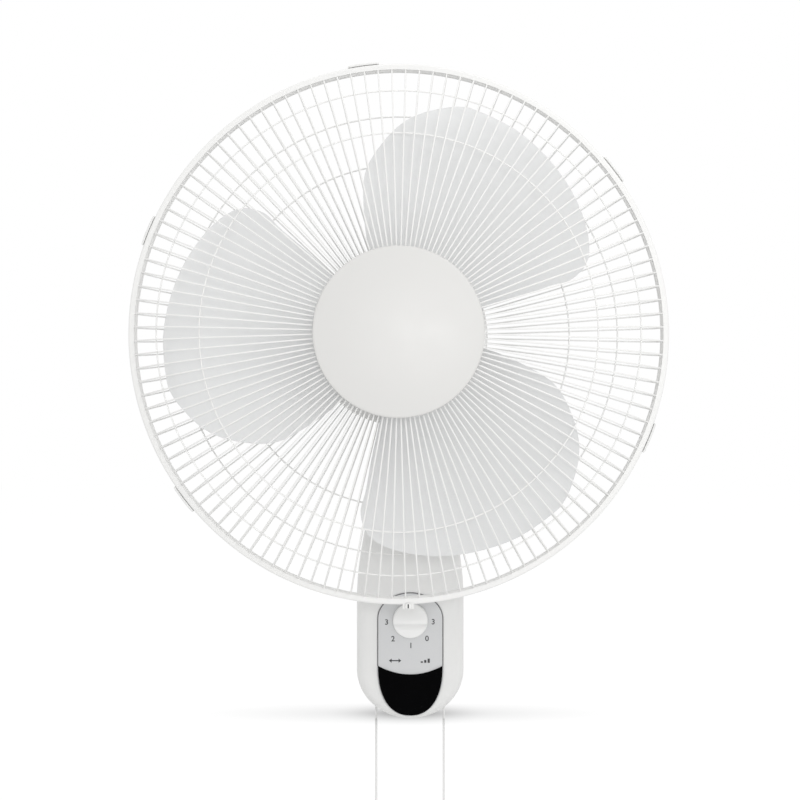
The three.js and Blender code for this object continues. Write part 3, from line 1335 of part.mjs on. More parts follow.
/** The round cap over the middle plate, with three snap posts that pass through the plate's hole. */
function badgeCap() {
  const back = FRONT_PLATE_Y - PLATE_THICKNESS / 2 - WIRE_RADIUS - FIT;
  const skin = 2;
  const face = back - skin;
  const cap = solid(revolve([
    [0, back],
    [BADGE_RADIUS - 1, back],
    [BADGE_RADIUS, back - 0.6],
    [BADGE_RADIUS - 0.8, face],
    [BADGE_RADIUS * 0.85, face - BADGE_CROWN * 0.35],
    [BADGE_RADIUS * 0.55, face - BADGE_CROWN * 0.75],
    [0, face - BADGE_CROWN],
  ], 30));
  const posts = [90, 210, 330].map((angle) => {
    const radius = FRONT_PLATE_HOLE - FIT - 3;
    const stud = block([radius - 3, back - 0.5, -4], [radius + 2.7, FRONT_PLATE_Y + 3, 4]);
    return solid(spun(stud, angle));
  });
  return join(cap, ...posts);
}

/** The ribbed nut that clamps the rear guard on the collar. */
function guardNut() {
  const ribs = 12;
  const edge = [];
  for (let i = 0; i < ribs; i += 1) {
    const middle = (i * 360) / ribs;
    edge.push(...arc(0, 0, GUARD_NUT_RADIUS, middle - 9, middle + 9, 1));
    edge.push(...arc(0, 0, GUARD_NUT_RADIUS - 2.5, middle + 12, middle + 18, 1));
  }
  const body = solid(frontPlate(outline(edge), GUARD_NUT_FRONT, GUARD_NUT_BACK));
  const bore = solid(revolve(
    rod(COLLAR_RADIUS + FIT, GUARD_NUT_FRONT - OVER, GUARD_NUT_BACK + OVER), COVER_STEPS));
  return cut(body, bore);
}

// ================================================================ blade
/** One leaf of the blade: a twisted, cambered sheet between a leading and a trailing edge. */
function leaf() {
  const columns = 5;
  const positions = [];
  const corners = [];
  const half = BLADE_THICKNESS / 2;
  [1, -1].forEach((side) => {
    LEAF_ROWS.forEach(({ along, lead, trail, depth }) => {
      const root = HUB_RADIUS - HUB_WALL / 2;
      const radius = root + (BLADE_RADIUS - root) * along;
      for (let k = 0; k <= columns; k += 1) {
        const part = k / columns;
        const angle = radians(lead + (trail - lead) * part);
        const camber = BLADE_CAMBER * 4 * part * (1 - part) * depth;
        const thin = half * (0.35 + 2.6 * part * (1 - part));
        const y = BLADE_MIDDLE_Y + BLADE_DEPTH * depth * (0.5 - part) + camber + side * thin;
        positions.push(radius * Math.cos(angle), y, radius * Math.sin(angle));
      }
    });
  });
  const across = columns + 1;
  const sheet = LEAF_ROWS.length * across;
  const at = (row, column, side) => side * sheet + row * across + column;
  const quad = (a, b, c, d) => corners.push(a, b, c, a, c, d);
  for (let row = 0; row < LEAF_ROWS.length - 1; row += 1) {
    for (let k = 0; k < columns; k += 1) {
      quad(at(row, k, 0), at(row, k + 1, 0), at(row + 1, k + 1, 0), at(row + 1, k, 0));
      quad(at(row, k, 1), at(row + 1, k, 1), at(row + 1, k + 1, 1), at(row, k + 1, 1));
    }
    quad(at(row, 0, 0), at(row + 1, 0, 0), at(row + 1, 0, 1), at(row, 0, 1));
    quad(at(row, columns, 0), at(row, columns, 1), at(row + 1, columns, 1), at(row + 1, columns, 0));
  }
  const top = LEAF_ROWS.length - 1;
  for (let k = 0; k < columns; k += 1) {
    quad(at(0, k, 0), at(0, k, 1), at(0, k + 1, 1), at(0, k + 1, 0));
    quad(at(top, k, 0), at(top, k + 1, 0), at(top, k + 1, 1), at(top, k, 1));
  }
  const geometry = new THREE.BufferGeometry();
  geometry.setAttribute('position', new THREE.Float32BufferAttribute(positions, 3));
  geometry.setIndex(corners);
  return geometry;
}

/** The one-piece blade: a cup-shaped hub with its boss and three leaves. */
function fanBlade() {
  const back = HUB_BACK;
  const boss = SHAFT_RADIUS + BOSS_WALL;
  const hub = solid(revolve([
    [SHAFT_RADIUS + FIT, HUB_FRONT],
    [HUB_RADIUS - 4, HUB_FRONT],
    [HUB_RADIUS, HUB_FRONT + 4],
    [HUB_RADIUS, back],
    [HUB_RADIUS - HUB_WALL, back],
    [HUB_RADIUS - HUB_WALL, HUB_FRONT + HUB_WALL + 2],
    [boss, HUB_FRONT + HUB_WALL],
    [boss, back - 3],
    [SHAFT_RADIUS + FIT, back - 3],
  ], 20));
  const slot = solid(block(
    [-DRIVE_PIN_LENGTH, DRIVE_PIN_Y - DRIVE_PIN_RADIUS - FIT, -DRIVE_PIN_RADIUS - FIT],
    [DRIVE_PIN_LENGTH, back + 1, DRIVE_PIN_RADIUS + FIT],
  ));
  const centre = solid(revolve(rod(HUB_RADIUS - HUB_WALL, HUB_FRONT, back + 2), 20));
  const slotCut = slot.intersect(centre);
  const one = leaf();
  const leaves = [];
  for (let i = 0; i < BLADE_COUNT; i += 1) {
    leaves.push(solid(spun(one, BLADE_PHASE + (360 / BLADE_COUNT) * i)));
  }
  return cut(join(hub, ...leaves), slotCut);
}

/** The left-handed nut that holds the blade on the shaft. */
function spinnerNut() {
  const [front, back] = [NUT_FRONT, NUT_BACK];
  const skirt = solid(revolve([
    [0, front],
    [SPINNER_RADIUS * 0.55, front],
    [SPINNER_RADIUS, front + 5],
    [SPINNER_RADIUS, back],
    [0, back],
  ], 20));
  const grip = solid(block([-SPINNER_RADIUS, front, -1.6], [SPINNER_RADIUS, front + 6, 1.6]));
  const bore = solid(revolve(rod(SHAFT_RADIUS + FIT, SHAFT_FRONT - RUN, back + 1), 12));
  return cut(join(skirt, grip), bore);
}

// ================================================================ assembly
function buildWallUnit() {
  const group = new THREE.Group();
  place(group, 'wall_bracket', wallBracket(), 'steel');
  place(group, 'rear_housing', rearHousing(), 'white');
  place(group, 'front_housing', frontHousing(), 'white');
  place(group, 'control_panel', controlPanel(), 'silver');
  place(group, 'window_lens', windowLens(), 'dark');
  place(group, 'speed_switch', speedSwitch(), 'grey');
  place(group, 'swing_switch', swingSwitch(), 'grey');
  place(group, 'swing_cord_bush', cordBush(-1), 'white');
  place(group, 'speed_cord_bush', cordBush(1), 'white');
  place(group, 'cable_gland', cableGland(), 'black');
  place(group, 'run_capacitor', capacitor(), 'black');
  place(group, 'terminal_block', terminalBlock(), 'grey');
  SCREW_PLACES.forEach((spot, i) => {
    place(group, `housing_screw_${i + 1}`, housingScrew(spot), 'steel');
  });
  place(group, 'tilt_bolt', tiltBolt(), 'steel');
  place(group, 'tilt_nut', tiltNut(), 'steel');
  place(group, 'speed_knob', speedKnob(), 'white');
  place(group, 'swing_pull_cord', pullCord(-1), 'white');
  place(group, 'swing_pull_handle', pullHandle(-1), 'white');
  place(group, 'speed_pull_cord', pullCord(1), 'white');
  place(group, 'speed_pull_handle', pullHandle(1), 'white');
  return group;
}

function buildNeck() {
  const group = new THREE.Group();
  place(group, 'tilt_neck', tiltNeck(), 'white');
  place(group, 'swing_bushing', swingBushing(), 'grey');
  return group;
}

function buildMotor() {
  const group = new THREE.Group();
  place(group, 'motor_mount', motorMount(), 'cast');
  place(group, 'motor_front_shield', shield(true), 'cast');
  place(group, 'motor_rear_shield', shield(false), 'cast');
  place(group, 'stator_core', statorCore(), 'steel');
  place(group, 'front_winding', winding(true), 'copper');
  place(group, 'rear_winding', winding(false), 'copper');
  place(group, 'front_bearing', bearing(true), 'brass');
  place(group, 'rear_bearing', bearing(false), 'brass');
  place(group, 'rotor_core', rotorCore(), 'steel');
  place(group, 'motor_shaft', motorShaft(), 'steel');
  place(group, 'swing_motor', swingMotor(), 'cast');
  place(group, 'swing_crank', swingCrank(), 'white');
  place(group, 'swing_link', swingLink(), 'steel');
  place(group, 'motor_rear_cover', rearCover(), 'white');
  place(group, 'motor_front_cover', frontCover(), 'white');
  place(group, 'cover_screw', coverScrew(), 'steel');
  return group;
}

function buildGuards() {
  const group = new THREE.Group();
  place(group, 'rear_guard', rearGuard(), 'enamel');
  place(group, 'rear_guard_ring_inner', wireRing(REAR_PATH, REAR_RING_INSETS[0], 1), 'enamel');
  place(group, 'rear_guard_ring_outer', wireRing(REAR_PATH, REAR_RING_INSETS[1], 1), 'enamel');
  place(group, 'guard_nut', guardNut(), 'white');
  place(group, 'front_guard', frontGuard(), 'enamel');
  place(group, 'front_guard_ring_inner', wireRing(FRONT_PATH, FRONT_RING_INSETS[0], -1), 'enamel');
  place(group, 'front_guard_ring_outer', wireRing(FRONT_PATH, FRONT_RING_INSETS[1], -1), 'enamel');
  place(group, 'badge_cap', badgeCap(), 'white');
  place(group, 'guard_hoop', guardHoop(), 'enamel');
  place(group, 'hoop_lock_screw', lockScrew(), 'steel');
  place(group, 'hoop_lock_nut', lockNut(), 'steel');
  CLIP_ANGLES.forEach((angle, i) => {
    place(group, `guard_clip_${i + 1}`, spun(guardClip(), angle), 'white');
  });
  return group;
}

function buildBlade() {
  const group = new THREE.Group();
  place(group, 'fan_blade', fanBlade(), 'blade');
  place(group, 'drive_pin', drivePin(), 'steel');
  place(group, 'spinner_nut', spinnerNut(), 'white');
  return group;
}

const head = new THREE.Group();
head.position.set(HEAD_X, 0, HEAD_Z);
head.add(buildMotor(), buildGuards(), buildBlade());

const fan = new THREE.Group();
fan.add(buildWallUnit(), buildNeck(), head);

export default fan;
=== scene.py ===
"""Looks of a wall mounted fan, in metres: fine surfaces, finishes, studio and camera on the CAD frame."""

import logging
import math
from abc import ABC, abstractmethod
from collections.abc import Iterable, Sequence
from dataclasses import dataclass, field
from enum import Enum

import bmesh
import bpy
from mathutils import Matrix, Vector

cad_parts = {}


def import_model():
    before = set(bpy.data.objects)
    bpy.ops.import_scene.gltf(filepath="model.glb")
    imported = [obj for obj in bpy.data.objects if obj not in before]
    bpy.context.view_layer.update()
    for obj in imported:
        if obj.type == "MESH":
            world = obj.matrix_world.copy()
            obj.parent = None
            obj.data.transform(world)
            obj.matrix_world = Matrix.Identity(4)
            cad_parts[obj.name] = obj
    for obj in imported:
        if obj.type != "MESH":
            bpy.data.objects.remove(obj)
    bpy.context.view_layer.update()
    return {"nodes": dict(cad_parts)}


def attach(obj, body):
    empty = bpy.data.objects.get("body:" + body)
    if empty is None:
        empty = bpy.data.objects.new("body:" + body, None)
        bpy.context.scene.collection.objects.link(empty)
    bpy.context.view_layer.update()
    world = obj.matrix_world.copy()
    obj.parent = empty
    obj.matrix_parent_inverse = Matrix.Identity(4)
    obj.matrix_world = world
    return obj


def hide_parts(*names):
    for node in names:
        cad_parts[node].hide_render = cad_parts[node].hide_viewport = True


LOG = logging.getLogger("wall_fan")
MM = 0.001
SHARP_ANGLE = 32.0
BEVEL_ANGLE = 40.0
Pair = tuple[float, float]
Triple = tuple[float, float, float]
MeshData = tuple[list[Triple], list[list[int]]]
Socket = bpy.types.NodeSocket
Thing = bpy.types.Object


# ---------------------------------------------------------------- sizes, in millimetres
@dataclass(frozen=True)
class BodySizes:
    """Sizes of the wall unit's bottle-shaped housings."""

    half_width: float = 47.0
    depth: float = 88.0
    bottom: float = -93.0
    egg_top: float = -50.0
    straight_top: float = 13.0
    neck_half_width: float = 26.5
    front_depth: float = 28.0
    shell: float = 2.4
    edge: float = 10.0
    back: float = -2.3
    slant_start: float = 84.0
    dome: float = 20.0
    dome_start: float = 30.0
    tilt_y: float = -68.0
    tilt_z: float = 146.0
    tilt_range: float = 25.0
    fit: float = 0.3
    screw_places: tuple[Pair, ...] = ((-32.0, 52.0), (32.0, 52.0), (0.0, -76.0))
    post_radius: float = 5.4
    well_radius: float = 3.5
    bore_radius: float = 2.0
    screw_seat: float = 56.0
    hook_places: tuple[float, ...] = (-18.0, 18.0)
    hook_half: float = 5.6
    hook_top: float = 42.3
    hook_low: float = 29.0
    cord_places: tuple[float, ...] = (-30.4, 30.4)
    cord_y: float = -46.0
    cord_bore: float = 4.2
    gland: Pair = (16.0, -17.0)
    gland_radius: float = 4.9
    bolt_bore: float = 3.3
    tongue: float = 7.6
    cheek: float = 4.0
    cheek_radius: float = 12.0
    stem: float = 8.5
    stem_play: float = 1.8
    slot_floor: float = 11.6

    @property
    def parting(self) -> float:
        """Where the front and rear housings meet."""
        return -self.depth + self.front_depth


@dataclass(frozen=True)
class PanelSizes:
    """Sizes of the control panel, its window and its knob."""

    half_width: float = 28.8
    top: float = 18.6
    bottom: float = -89.6
    arch: float = 23.0
    foot: float = 44.1
    fullness: float = 2.3
    plate: float = 1.4
    front: float = -88.7
    window_top: float = -45.5
    window_sag: float = 7.5
    window_plate: float = 1.2
    knob_z: float = -5.7
    knob_radius: float = 15.2
    knob_height: float = 14.0
    numeral: float = 6.6
    mark_z: float = -41.0
    dial_drop: float = 0.9
    border_inset: float = 0.42
    border_wire: float = 0.3
    ink: float = 0.03
    bolder: float = 0.11
    shaft_bore: float = 3.6
    bore_span: Pair = (-120.0, -70.0)

    @property
    def print_y(self) -> float:
        """The middle of the printed signs' thickness."""
        return self.front - 0.05


@dataclass(frozen=True)
class CordSizes:
    """Route and sizes of the two pull cords."""

    x: float = 30.4
    y: float = -46.0
    top: float = -62.0
    end: float = -178.0
    radius: float = 1.0
    bush_bottom: float = -86.2
    bush_radius: float = 3.6
    bush_bore: float = 1.6
    handle_radius: float = 5.0
    handle_height: float = 18.0
    points: int = 24


@dataclass(frozen=True)
class HeadSizes:
    """Places along the motor axis, which runs through x and z, and the radii about it."""

    x: float = -10.0
    z: float = 240.0
    guard_radius: float = 217.5
    rim_radius: float = 213.5
    rim_y: float = -205.0
    rim_wire: float = 1.9
    rim_gap: float = 2.65
    wire: float = 0.62
    spokes: int = 120
    front_rings: tuple[float, ...] = (157.0, 193.0)
    rear_rings: tuple[float, ...] = (141.0, 180.0)
    front_plate_y: float = -256.0
    rear_plate_y: float = -161.8
    badge_radius: float = 67.0
    front_plate: Pair = (52.0, 64.0)
    rear_plate: Pair = (19.7, 74.0)
    plate_half: float = 1.5
    plate_hold: float = 2.5
    rim_sides: int = 288
    ring_sides: int = 240
    round_sides: int = 144
    hoop_depth: float = 14.6
    hoop_lip: float = 4.8
    hoop_wall: float = 1.2
    clip_angles: tuple[float, ...] = (37.5, 97.5, 157.5, 217.5, 337.5)
    clip_length: float = 25.0
    clip_plate: float = 1.8
    lock_angle: float = 272.0
    lock_rise: float = 1.2
    lock_bore: float = 1.7
    cover_radius: float = 58.0
    cover_front: float = -160.0
    cover_split: float = -134.0
    cover_straight_end: float = -70.0
    cover_tail: float = -22.0
    cover_wall: float = 2.2
    collar_radius: float = 19.0
    collar_end: float = -177.0
    slots: int = 7
    throat_radius: float = 21.5
    throat_span: Pair = (175.0, 204.0)
    throat_y: float = -80.0

    @property
    def hoop_front(self) -> float:
        """The hoop's front edge."""
        return self.rim_y - self.hoop_depth / 2

    @property
    def hoop_rear(self) -> float:
        """The hoop's rear edge."""
        return self.rim_y + self.hoop_depth / 2


@dataclass(frozen=True)
class BladeSizes:
    """Sizes of the three-leaved blade."""

    hub_radius: float = 42.0
    hub_front: float = -233.0
    hub_back: float = -190.0
    hub_wall: float = 2.6
    bore: float = 4.3
    boss: float = 10.0
    radius: float = 190.0
    depth: float = 43.0
    middle_y: float = -211.5
    phase: float = 17.5
    thickness: float = 2.0
    camber: float = 6.0
    count: int = 3


@dataclass(frozen=True)
class LeafRow:
    """One row along a leaf: how far out it lies, its two edge angles and its share of the depth."""

    along: float
    lead: float
    trail: float
    depth: float


LEAF_ROWS = (
    LeafRow(0.0, 0.0, 92.0, 0.88),
    LeafRow(0.2, 0.0, 92.0, 0.98),
    LeafRow(0.4, 0.0, 88.5, 1.0),
    LeafRow(0.59, 0.5, 84.5, 0.98),
    LeafRow(0.73, 0.5, 78.0, 0.92),
    LeafRow(0.86, 6.0, 70.5, 0.79),
    LeafRow(0.946, 22.0, 62.5, 0.49),
    LeafRow(1.0, 43.0, 55.0, 0.16),
)


# ---------------------------------------------------------------- finishes
class Tone(Enum):
    """The finishes that the fan's pieces take."""

    HOUSING = "housing"
    COVER = "cover"
    ENAMEL = "enamel"
    BLADE = "blade"
    BADGE = "badge"
    PANEL = "panel"
    WINDOW = "window"
    KNOB = "knob"
    PRINT = "print"
    BORDER = "border"
    CORD = "cord"
    BLACK = "black"
    GREY = "grey"
    STEEL = "steel"
    CAST = "cast"
    BRASS = "brass"
    COPPER = "copper"
    LAMINATIONS = "laminations"


class NodeBoard:
    """The emptied node tree of a material or a world, with short calls for its nodes."""

    def __init__(self, owner: bpy.types.Material | bpy.types.World) -> None:
        """Empties the owner's tree.

        Args:
            owner: the material or world.
        """
        owner.use_nodes = True
        self.tree = owner.node_tree
        self.tree.nodes.clear()

    def join(self, source: Socket, target: Socket) -> None:
        """Links two sockets."""
        self.tree.links.new(source, target)

    @staticmethod
    def fill(node: bpy.types.Node, values: dict[str, float | Sequence[float]]) -> None:
        """Sets plain values on a node's inputs, whose names have _ for a space."""
        for name, value in values.items():
            node.inputs[name.replace("_", " ")].default_value = value

    def node(self, kind: str, *sources: Socket, **values: float | Sequence[float]) -> bpy.types.Node:
        """A new shader node.

        Args:
            kind: its type, without the word ShaderNode.
            sources: sockets to link to its first inputs, in order.
            values: plain values for its inputs by name, with _ for a space.

        Returns:
            The node.
        """
        made = self.tree.nodes.new(f"ShaderNode{kind}")
        for source, target in zip(sources, made.inputs):
            self.join(source, target)
        self.fill(made, values)
        return made

    def maths(self, operation: str, first: Socket, second: Socket | float) -> Socket:
        """The result of one step of arithmetic.

        Args:
            operation: Blender's name for it.
            first: a value's socket.
            second: another one, or a plain number.

        Returns:
            The result's socket.
        """
        made = self.node("Math", first)
        made.operation = operation
        if isinstance(second, float):
            made.inputs[1].default_value = second
        else:
            self.join(second, made.inputs[1])
        return made.outputs[0]

    def mix(self, output: str, share: Socket, first: bpy.types.Node, second: bpy.types.Node) -> None:
        """Ends the tree in a mix of two shaders.

        Args:
            output: the kind of output node.
            share: the second shader's share.
            first: one shader.
            second: the other one.
        """
        mixed = self.node("MixShader", share, first.outputs[0], second.outputs[0])
        self.node(output, mixed.outputs[0])


class FinishBoard(NodeBoard):
    """A material's board with a Principled shader and the patterns that the finishes use."""

    def __init__(self, material: bpy.types.Material) -> None:
        """Puts the shader and the piece's own place on the board.

        Args:
            material: the new material.
        """
        super().__init__(material)
        self.shader = self.node("BsdfPrincipled")
        self.node("OutputMaterial", self.shader.outputs[0])
        self.place = self.node("TexCoord").outputs["Object"]

    def noise(self, scale: float, detail: float = 3.0, stretch: Triple = (1.0, 1.0, 1.0)) -> Socket:
        """A noise value over the piece's own place.

        Args:
            scale: grains per metre.
            detail: octaves.
            stretch: factors along the three axes.

        Returns:
            The noise's value socket.
        """
        spread = self.node("Mapping", self.place, Scale=stretch)
        return self.node("TexNoise", spread.outputs[0], Scale=scale, Detail=detail).outputs["Fac"]

    def wave(self, scale: float, direction: str, distortion: float = 0.0) -> Socket:
        """A band pattern's value socket.

        Args:
            scale: bands per metre, about.
            direction: the axis or diagonal that the bands cross.
            distortion: how wavy they are.

        Returns:
            The pattern's value socket.
        """
        node = self.node("TexWave", self.place, Scale=scale, Distortion=distortion)
        node.bands_direction = direction
        return node.outputs["Fac"]

    def ranged(self, value: Socket, low: float, high: float) -> Socket:
        """A value moved from 0..1 into another range."""
        return self.node("MapRange", value, To_Min=low, To_Max=high).outputs["Result"]

    def tinted(self, value: Socket, low: Triple, high: Triple) -> Socket:
        """A colour that a value moves from one tint to another.

        Args:
            value: the share of the second tint.
            low: the tint at 0.
            high: the tint at 1.

        Returns:
            The colour's socket.
        """
        node = self.node("Mix")
        node.data_type = "RGBA"
        factor, first, second = node.inputs[0], node.inputs[6], node.inputs[7]
        first.default_value, second.default_value = (*low, 1.0), (*high, 1.0)
        self.join(value, factor)
        return node.outputs[2]

    def bump(self, value: Socket, depth: float, under: Socket | None = None) -> Socket:
        """A bumped normal.

        Args:
            value: the height pattern.
            depth: the height of the pattern, in metres.
            under: a normal to add it to.

        Returns:
            The normal's socket.
        """
        node = self.node("Bump", Distance=depth, Strength=1.0)
        self.join(value, node.inputs["Height"])
        if under is not None:
            self.join(under, node.inputs["Normal"])
        return node.outputs["Normal"]

    def feed(self, name: str, source: Socket) -> None:
        """Links a value to one of the shader's inputs."""
        self.join(source, self.shader.inputs[name])

    def fix(self, **values: float) -> None:
        """Sets plain numbers on the shader's inputs."""
        self.fill(self.shader, values)


@dataclass(frozen=True)
class Finish(ABC):
    """A surface finish that makes one material."""

    colour: Triple
    roughness: float = 0.4

    @abstractmethod
    def dress(self, board: FinishBoard) -> None:
        """Adds the finish's nodes to a board."""

    def material(self, name: str) -> bpy.types.Material:
        """A new material with this finish.

        Args:
            name: the finish's name.

        Returns:
            The material.
        """
        material = bpy.data.materials.new(f"fan_{name}")
        self.dress(FinishBoard(material))
        return material

    def shade(self, share: float) -> Triple:
        """The finish's colour times a share."""
        return tuple(part * share for part in self.colour)


@dataclass(frozen=True)
class MouldedPlastic(Finish):
    """Injection moulded plastic: faint spark-eroded grain, slow colour drift and handling haze."""

    grain: float = 2600.0
    depth: float = 0.00002
    drift: float = 0.03
    coat: float = 0.05

    def dress(self, board: FinishBoard) -> None:
        """Adds grain, drift and haze.

        Args:
            board: the material's board.
        """
        slow = board.noise(9.0, 4.0)
        board.feed("Base Color", board.tinted(slow, self.shade(1.0 - self.drift), self.colour))
        haze = board.noise(60.0, 5.0)
        board.feed("Roughness", board.ranged(haze, self.roughness - 0.06, self.roughness + 0.08))
        sink = board.bump(board.noise(28.0, 2.0), self.depth * 5)
        board.feed("Normal", board.bump(board.noise(self.grain, 2.0), self.depth, sink))
        board.fix(Coat_Weight=self.coat, Coat_Roughness=0.25, IOR=1.5)


@dataclass(frozen=True)
class PowderCoat(Finish):
    """Baked enamel on wire: glossy, with the soft orange peel of a powder coat."""

    peel: float = 700.0
    depth: float = 0.000008

    def dress(self, board: FinishBoard) -> None:
        """Adds orange peel and a slight yellowing.

        Args:
            board: the material's board.
        """
        slow = board.noise(14.0, 3.0)
        warm = (self.colour[0], self.colour[1] * 0.995, self.colour[2] * 0.98)
        board.feed("Base Color", board.tinted(slow, warm, self.colour))
        peel = board.noise(self.peel, 1.5)
        board.feed("Roughness", board.ranged(peel, self.roughness - 0.05, self.roughness + 0.1))
        board.feed("Normal", board.bump(peel, self.depth))
        board.fix(Coat_Weight=0.35, Coat_Roughness=0.12, IOR=1.5)


@dataclass(frozen=True)
class SatinPaint(Finish):
    """Silver satin paint: fine metallic flakes in a flat grey."""

    flake: float = 9000.0

    def dress(self, board: FinishBoard) -> None:
        """Adds flakes and a faint cloud.

        Args:
            board: the material's board.
        """
        flakes = board.noise(self.flake, 1.0)
        board.feed("Base Color", board.tinted(flakes, self.shade(0.9), self.shade(1.08)))
        cloud = board.noise(40.0, 4.0)
        board.feed("Roughness", board.ranged(cloud, self.roughness - 0.05, self.roughness + 0.05))
        board.feed("Normal", board.bump(flakes, 0.000006))
        board.fix(Metallic=0.25, IOR=1.5)


@dataclass(frozen=True)
class GlossLens(Finish):
    """A dark glossy window with the faintest dust and wipe marks."""

    def dress(self, board: FinishBoard) -> None:
        """Adds wipe marks to a mirror-smooth coat.

        Args:
            board: the material's board.
        """
        wipes = board.noise(120.0, 5.0, (1.0, 1.0, 0.25))
        board.feed("Roughness", board.ranged(wipes, self.roughness, self.roughness + 0.08))
        board.feed("Base Color", board.tinted(wipes, self.colour, self.shade(1.6)))
        board.fix(Specular_IOR_Level=0.012, Coat_Weight=0.002, Coat_Roughness=0.03)


@dataclass(frozen=True)
class BareMetal(Finish):
    """Bare or plated metal with drawn or cast texture."""

    stretch: Triple = (1.0, 1.0, 1.0)
    grain: float = 1500.0
    depth: float = 0.00002

    def dress(self, board: FinishBoard) -> None:
        """Adds streaks, tarnish and grain.

        Args:
            board: the material's board.
        """
        streak = board.noise(self.grain, 4.0, self.stretch)
        tarnish = board.noise(80.0, 5.0)
        board.feed("Base Color", board.tinted(tarnish, self.shade(0.82), self.colour))
        board.feed("Roughness", board.ranged(streak, self.roughness - 0.08, self.roughness + 0.12))
        board.feed("Normal", board.bump(streak, self.depth))
        board.fix(Metallic=0.9)


@dataclass(frozen=True)
class Braid(Finish):
    """A braided synthetic cord: two crossing sets of strands."""

    strands: float = 520.0
    depth: float = 0.00004

    def dress(self, board: FinishBoard) -> None:
        """Adds the crossing strands and a fibre sheen.

        Args:
            board: the material's board.
        """
        one = board.wave(self.strands, "DIAGONAL", 1.0)
        other = board.wave(self.strands * 0.8, "Z", 2.0)
        board.feed("Base Color", board.tinted(one, self.shade(0.94), self.colour))
        board.feed("Normal", board.bump(other, self.depth * 0.5, board.bump(one, self.depth)))
        board.fix(Roughness=self.roughness, Sheen_Weight=0.3, Sheen_Roughness=0.4)


@dataclass(frozen=True)
class Layered(Finish):
    """Laminations or windings: fine parallel lines along the motor's axis."""

    lines: float = 420.0
    metallic: float = 0.8

    def dress(self, board: FinishBoard) -> None:
        """Adds the parallel lines.

        Args:
            board: the material's board.
        """
        lines = board.wave(self.lines, "Y", 0.6)
        board.feed("Base Color", board.tinted(lines, self.shade(0.55), self.colour))
        board.feed("Normal", board.bump(lines, 0.0002))
        board.fix(Roughness=self.roughness, Metallic=self.metallic)


@dataclass(frozen=True)
class Ink(Finish):
    """Screen-printed ink with slightly uneven cover."""

    def dress(self, board: FinishBoard) -> None:
        """Adds the uneven cover.

        Args:
            board: the material's board.
        """
        cover = board.noise(2500.0, 3.0)
        board.feed("Base Color", board.tinted(cover, self.colour, self.shade(1.8)))
        board.feed("Normal", board.bump(cover, 0.00001))
        board.fix(Roughness=self.roughness)


FINISHES: dict[Tone, Finish] = {
    Tone.HOUSING: MouldedPlastic((0.81, 0.81, 0.8), 0.34),
    Tone.COVER: MouldedPlastic((0.79, 0.79, 0.78), 0.42),
    Tone.ENAMEL: PowderCoat((0.84, 0.84, 0.835), 0.3),
    Tone.BLADE: MouldedPlastic((0.76, 0.765, 0.765), 0.38, drift=0.02),
    Tone.BADGE: MouldedPlastic((0.69, 0.685, 0.67), 0.36, grain=1800.0),
    Tone.PANEL: SatinPaint((0.6, 0.605, 0.61), 0.42),
    Tone.WINDOW: GlossLens((0.0012, 0.0012, 0.0014), 0.05),
    Tone.KNOB: MouldedPlastic((0.9, 0.9, 0.89), 0.32),
    Tone.PRINT: Ink((0.03, 0.03, 0.032), 0.5),
    Tone.BORDER: Ink((0.05, 0.05, 0.055), 0.45),
    Tone.CORD: Braid((0.88, 0.88, 0.87), 0.7),
    Tone.BLACK: MouldedPlastic((0.02, 0.02, 0.022), 0.5, depth=0.00004),
    Tone.GREY: MouldedPlastic((0.28, 0.29, 0.3), 0.5),
    Tone.STEEL: BareMetal((0.62, 0.63, 0.64), 0.34, (1.0, 1.0, 0.1)),
    Tone.CAST: BareMetal((0.45, 0.46, 0.47), 0.55, grain=900.0, depth=0.00008),
    Tone.BRASS: BareMetal((0.66, 0.5, 0.22), 0.34),
    Tone.COPPER: Layered((0.62, 0.25, 0.1), 0.4, 700.0),
    Tone.LAMINATIONS: Layered((0.4, 0.41, 0.43), 0.45),
}


@dataclass
class Palette:
    """The finishes' materials, each made once."""

    made: dict[Tone, bpy.types.Material] = field(default_factory=dict)

    def pick(self, tone: Tone) -> bpy.types.Material:
        """The material of a tone.

        Args:
            tone: the finish wanted.

        Returns:
            Its material.
        """
        if tone not in self.made:
            self.made[tone] = FINISHES[tone].material(tone.value)
        return self.made[tone]


# ---------------------------------------------------------------- shapes, in millimetres
def arc(u: float, v: float, radius: float, start: float, stop: float, steps: int) -> list[Pair]:
    """Points of an arc, angles in degrees."""
    turns = [math.radians(start + (stop - start) * i / steps) for i in range(steps + 1)]
    return [(u + radius * math.cos(turn), v + radius * math.sin(turn)) for turn in turns]


def inset(points: Sequence[Pair], distance: float) -> list[Pair]:
    """A closed anticlockwise outline moved inwards by a distance.

    Args:
        points: the outline's points.
        distance: how far to move it.

    Returns:
        The moved points.
    """
    moved = []
    count = len(points)
    for i, (u, v) in enumerate(points):
        before = Vector((u - points[i - 1][0], v - points[i - 1][1])).normalized()
        after = Vector((points[(i + 1) % count][0] - u, points[(i + 1) % count][1] - v)).normalized()
        first, second = Vector((-before.y, before.x)), Vector((-after.y, after.x))
        mitre = (first + second).normalized()
        reach = distance / max(mitre.dot(second), 0.5)
        moved.append((u + mitre.x * reach, v + mitre.y * reach))
    return moved


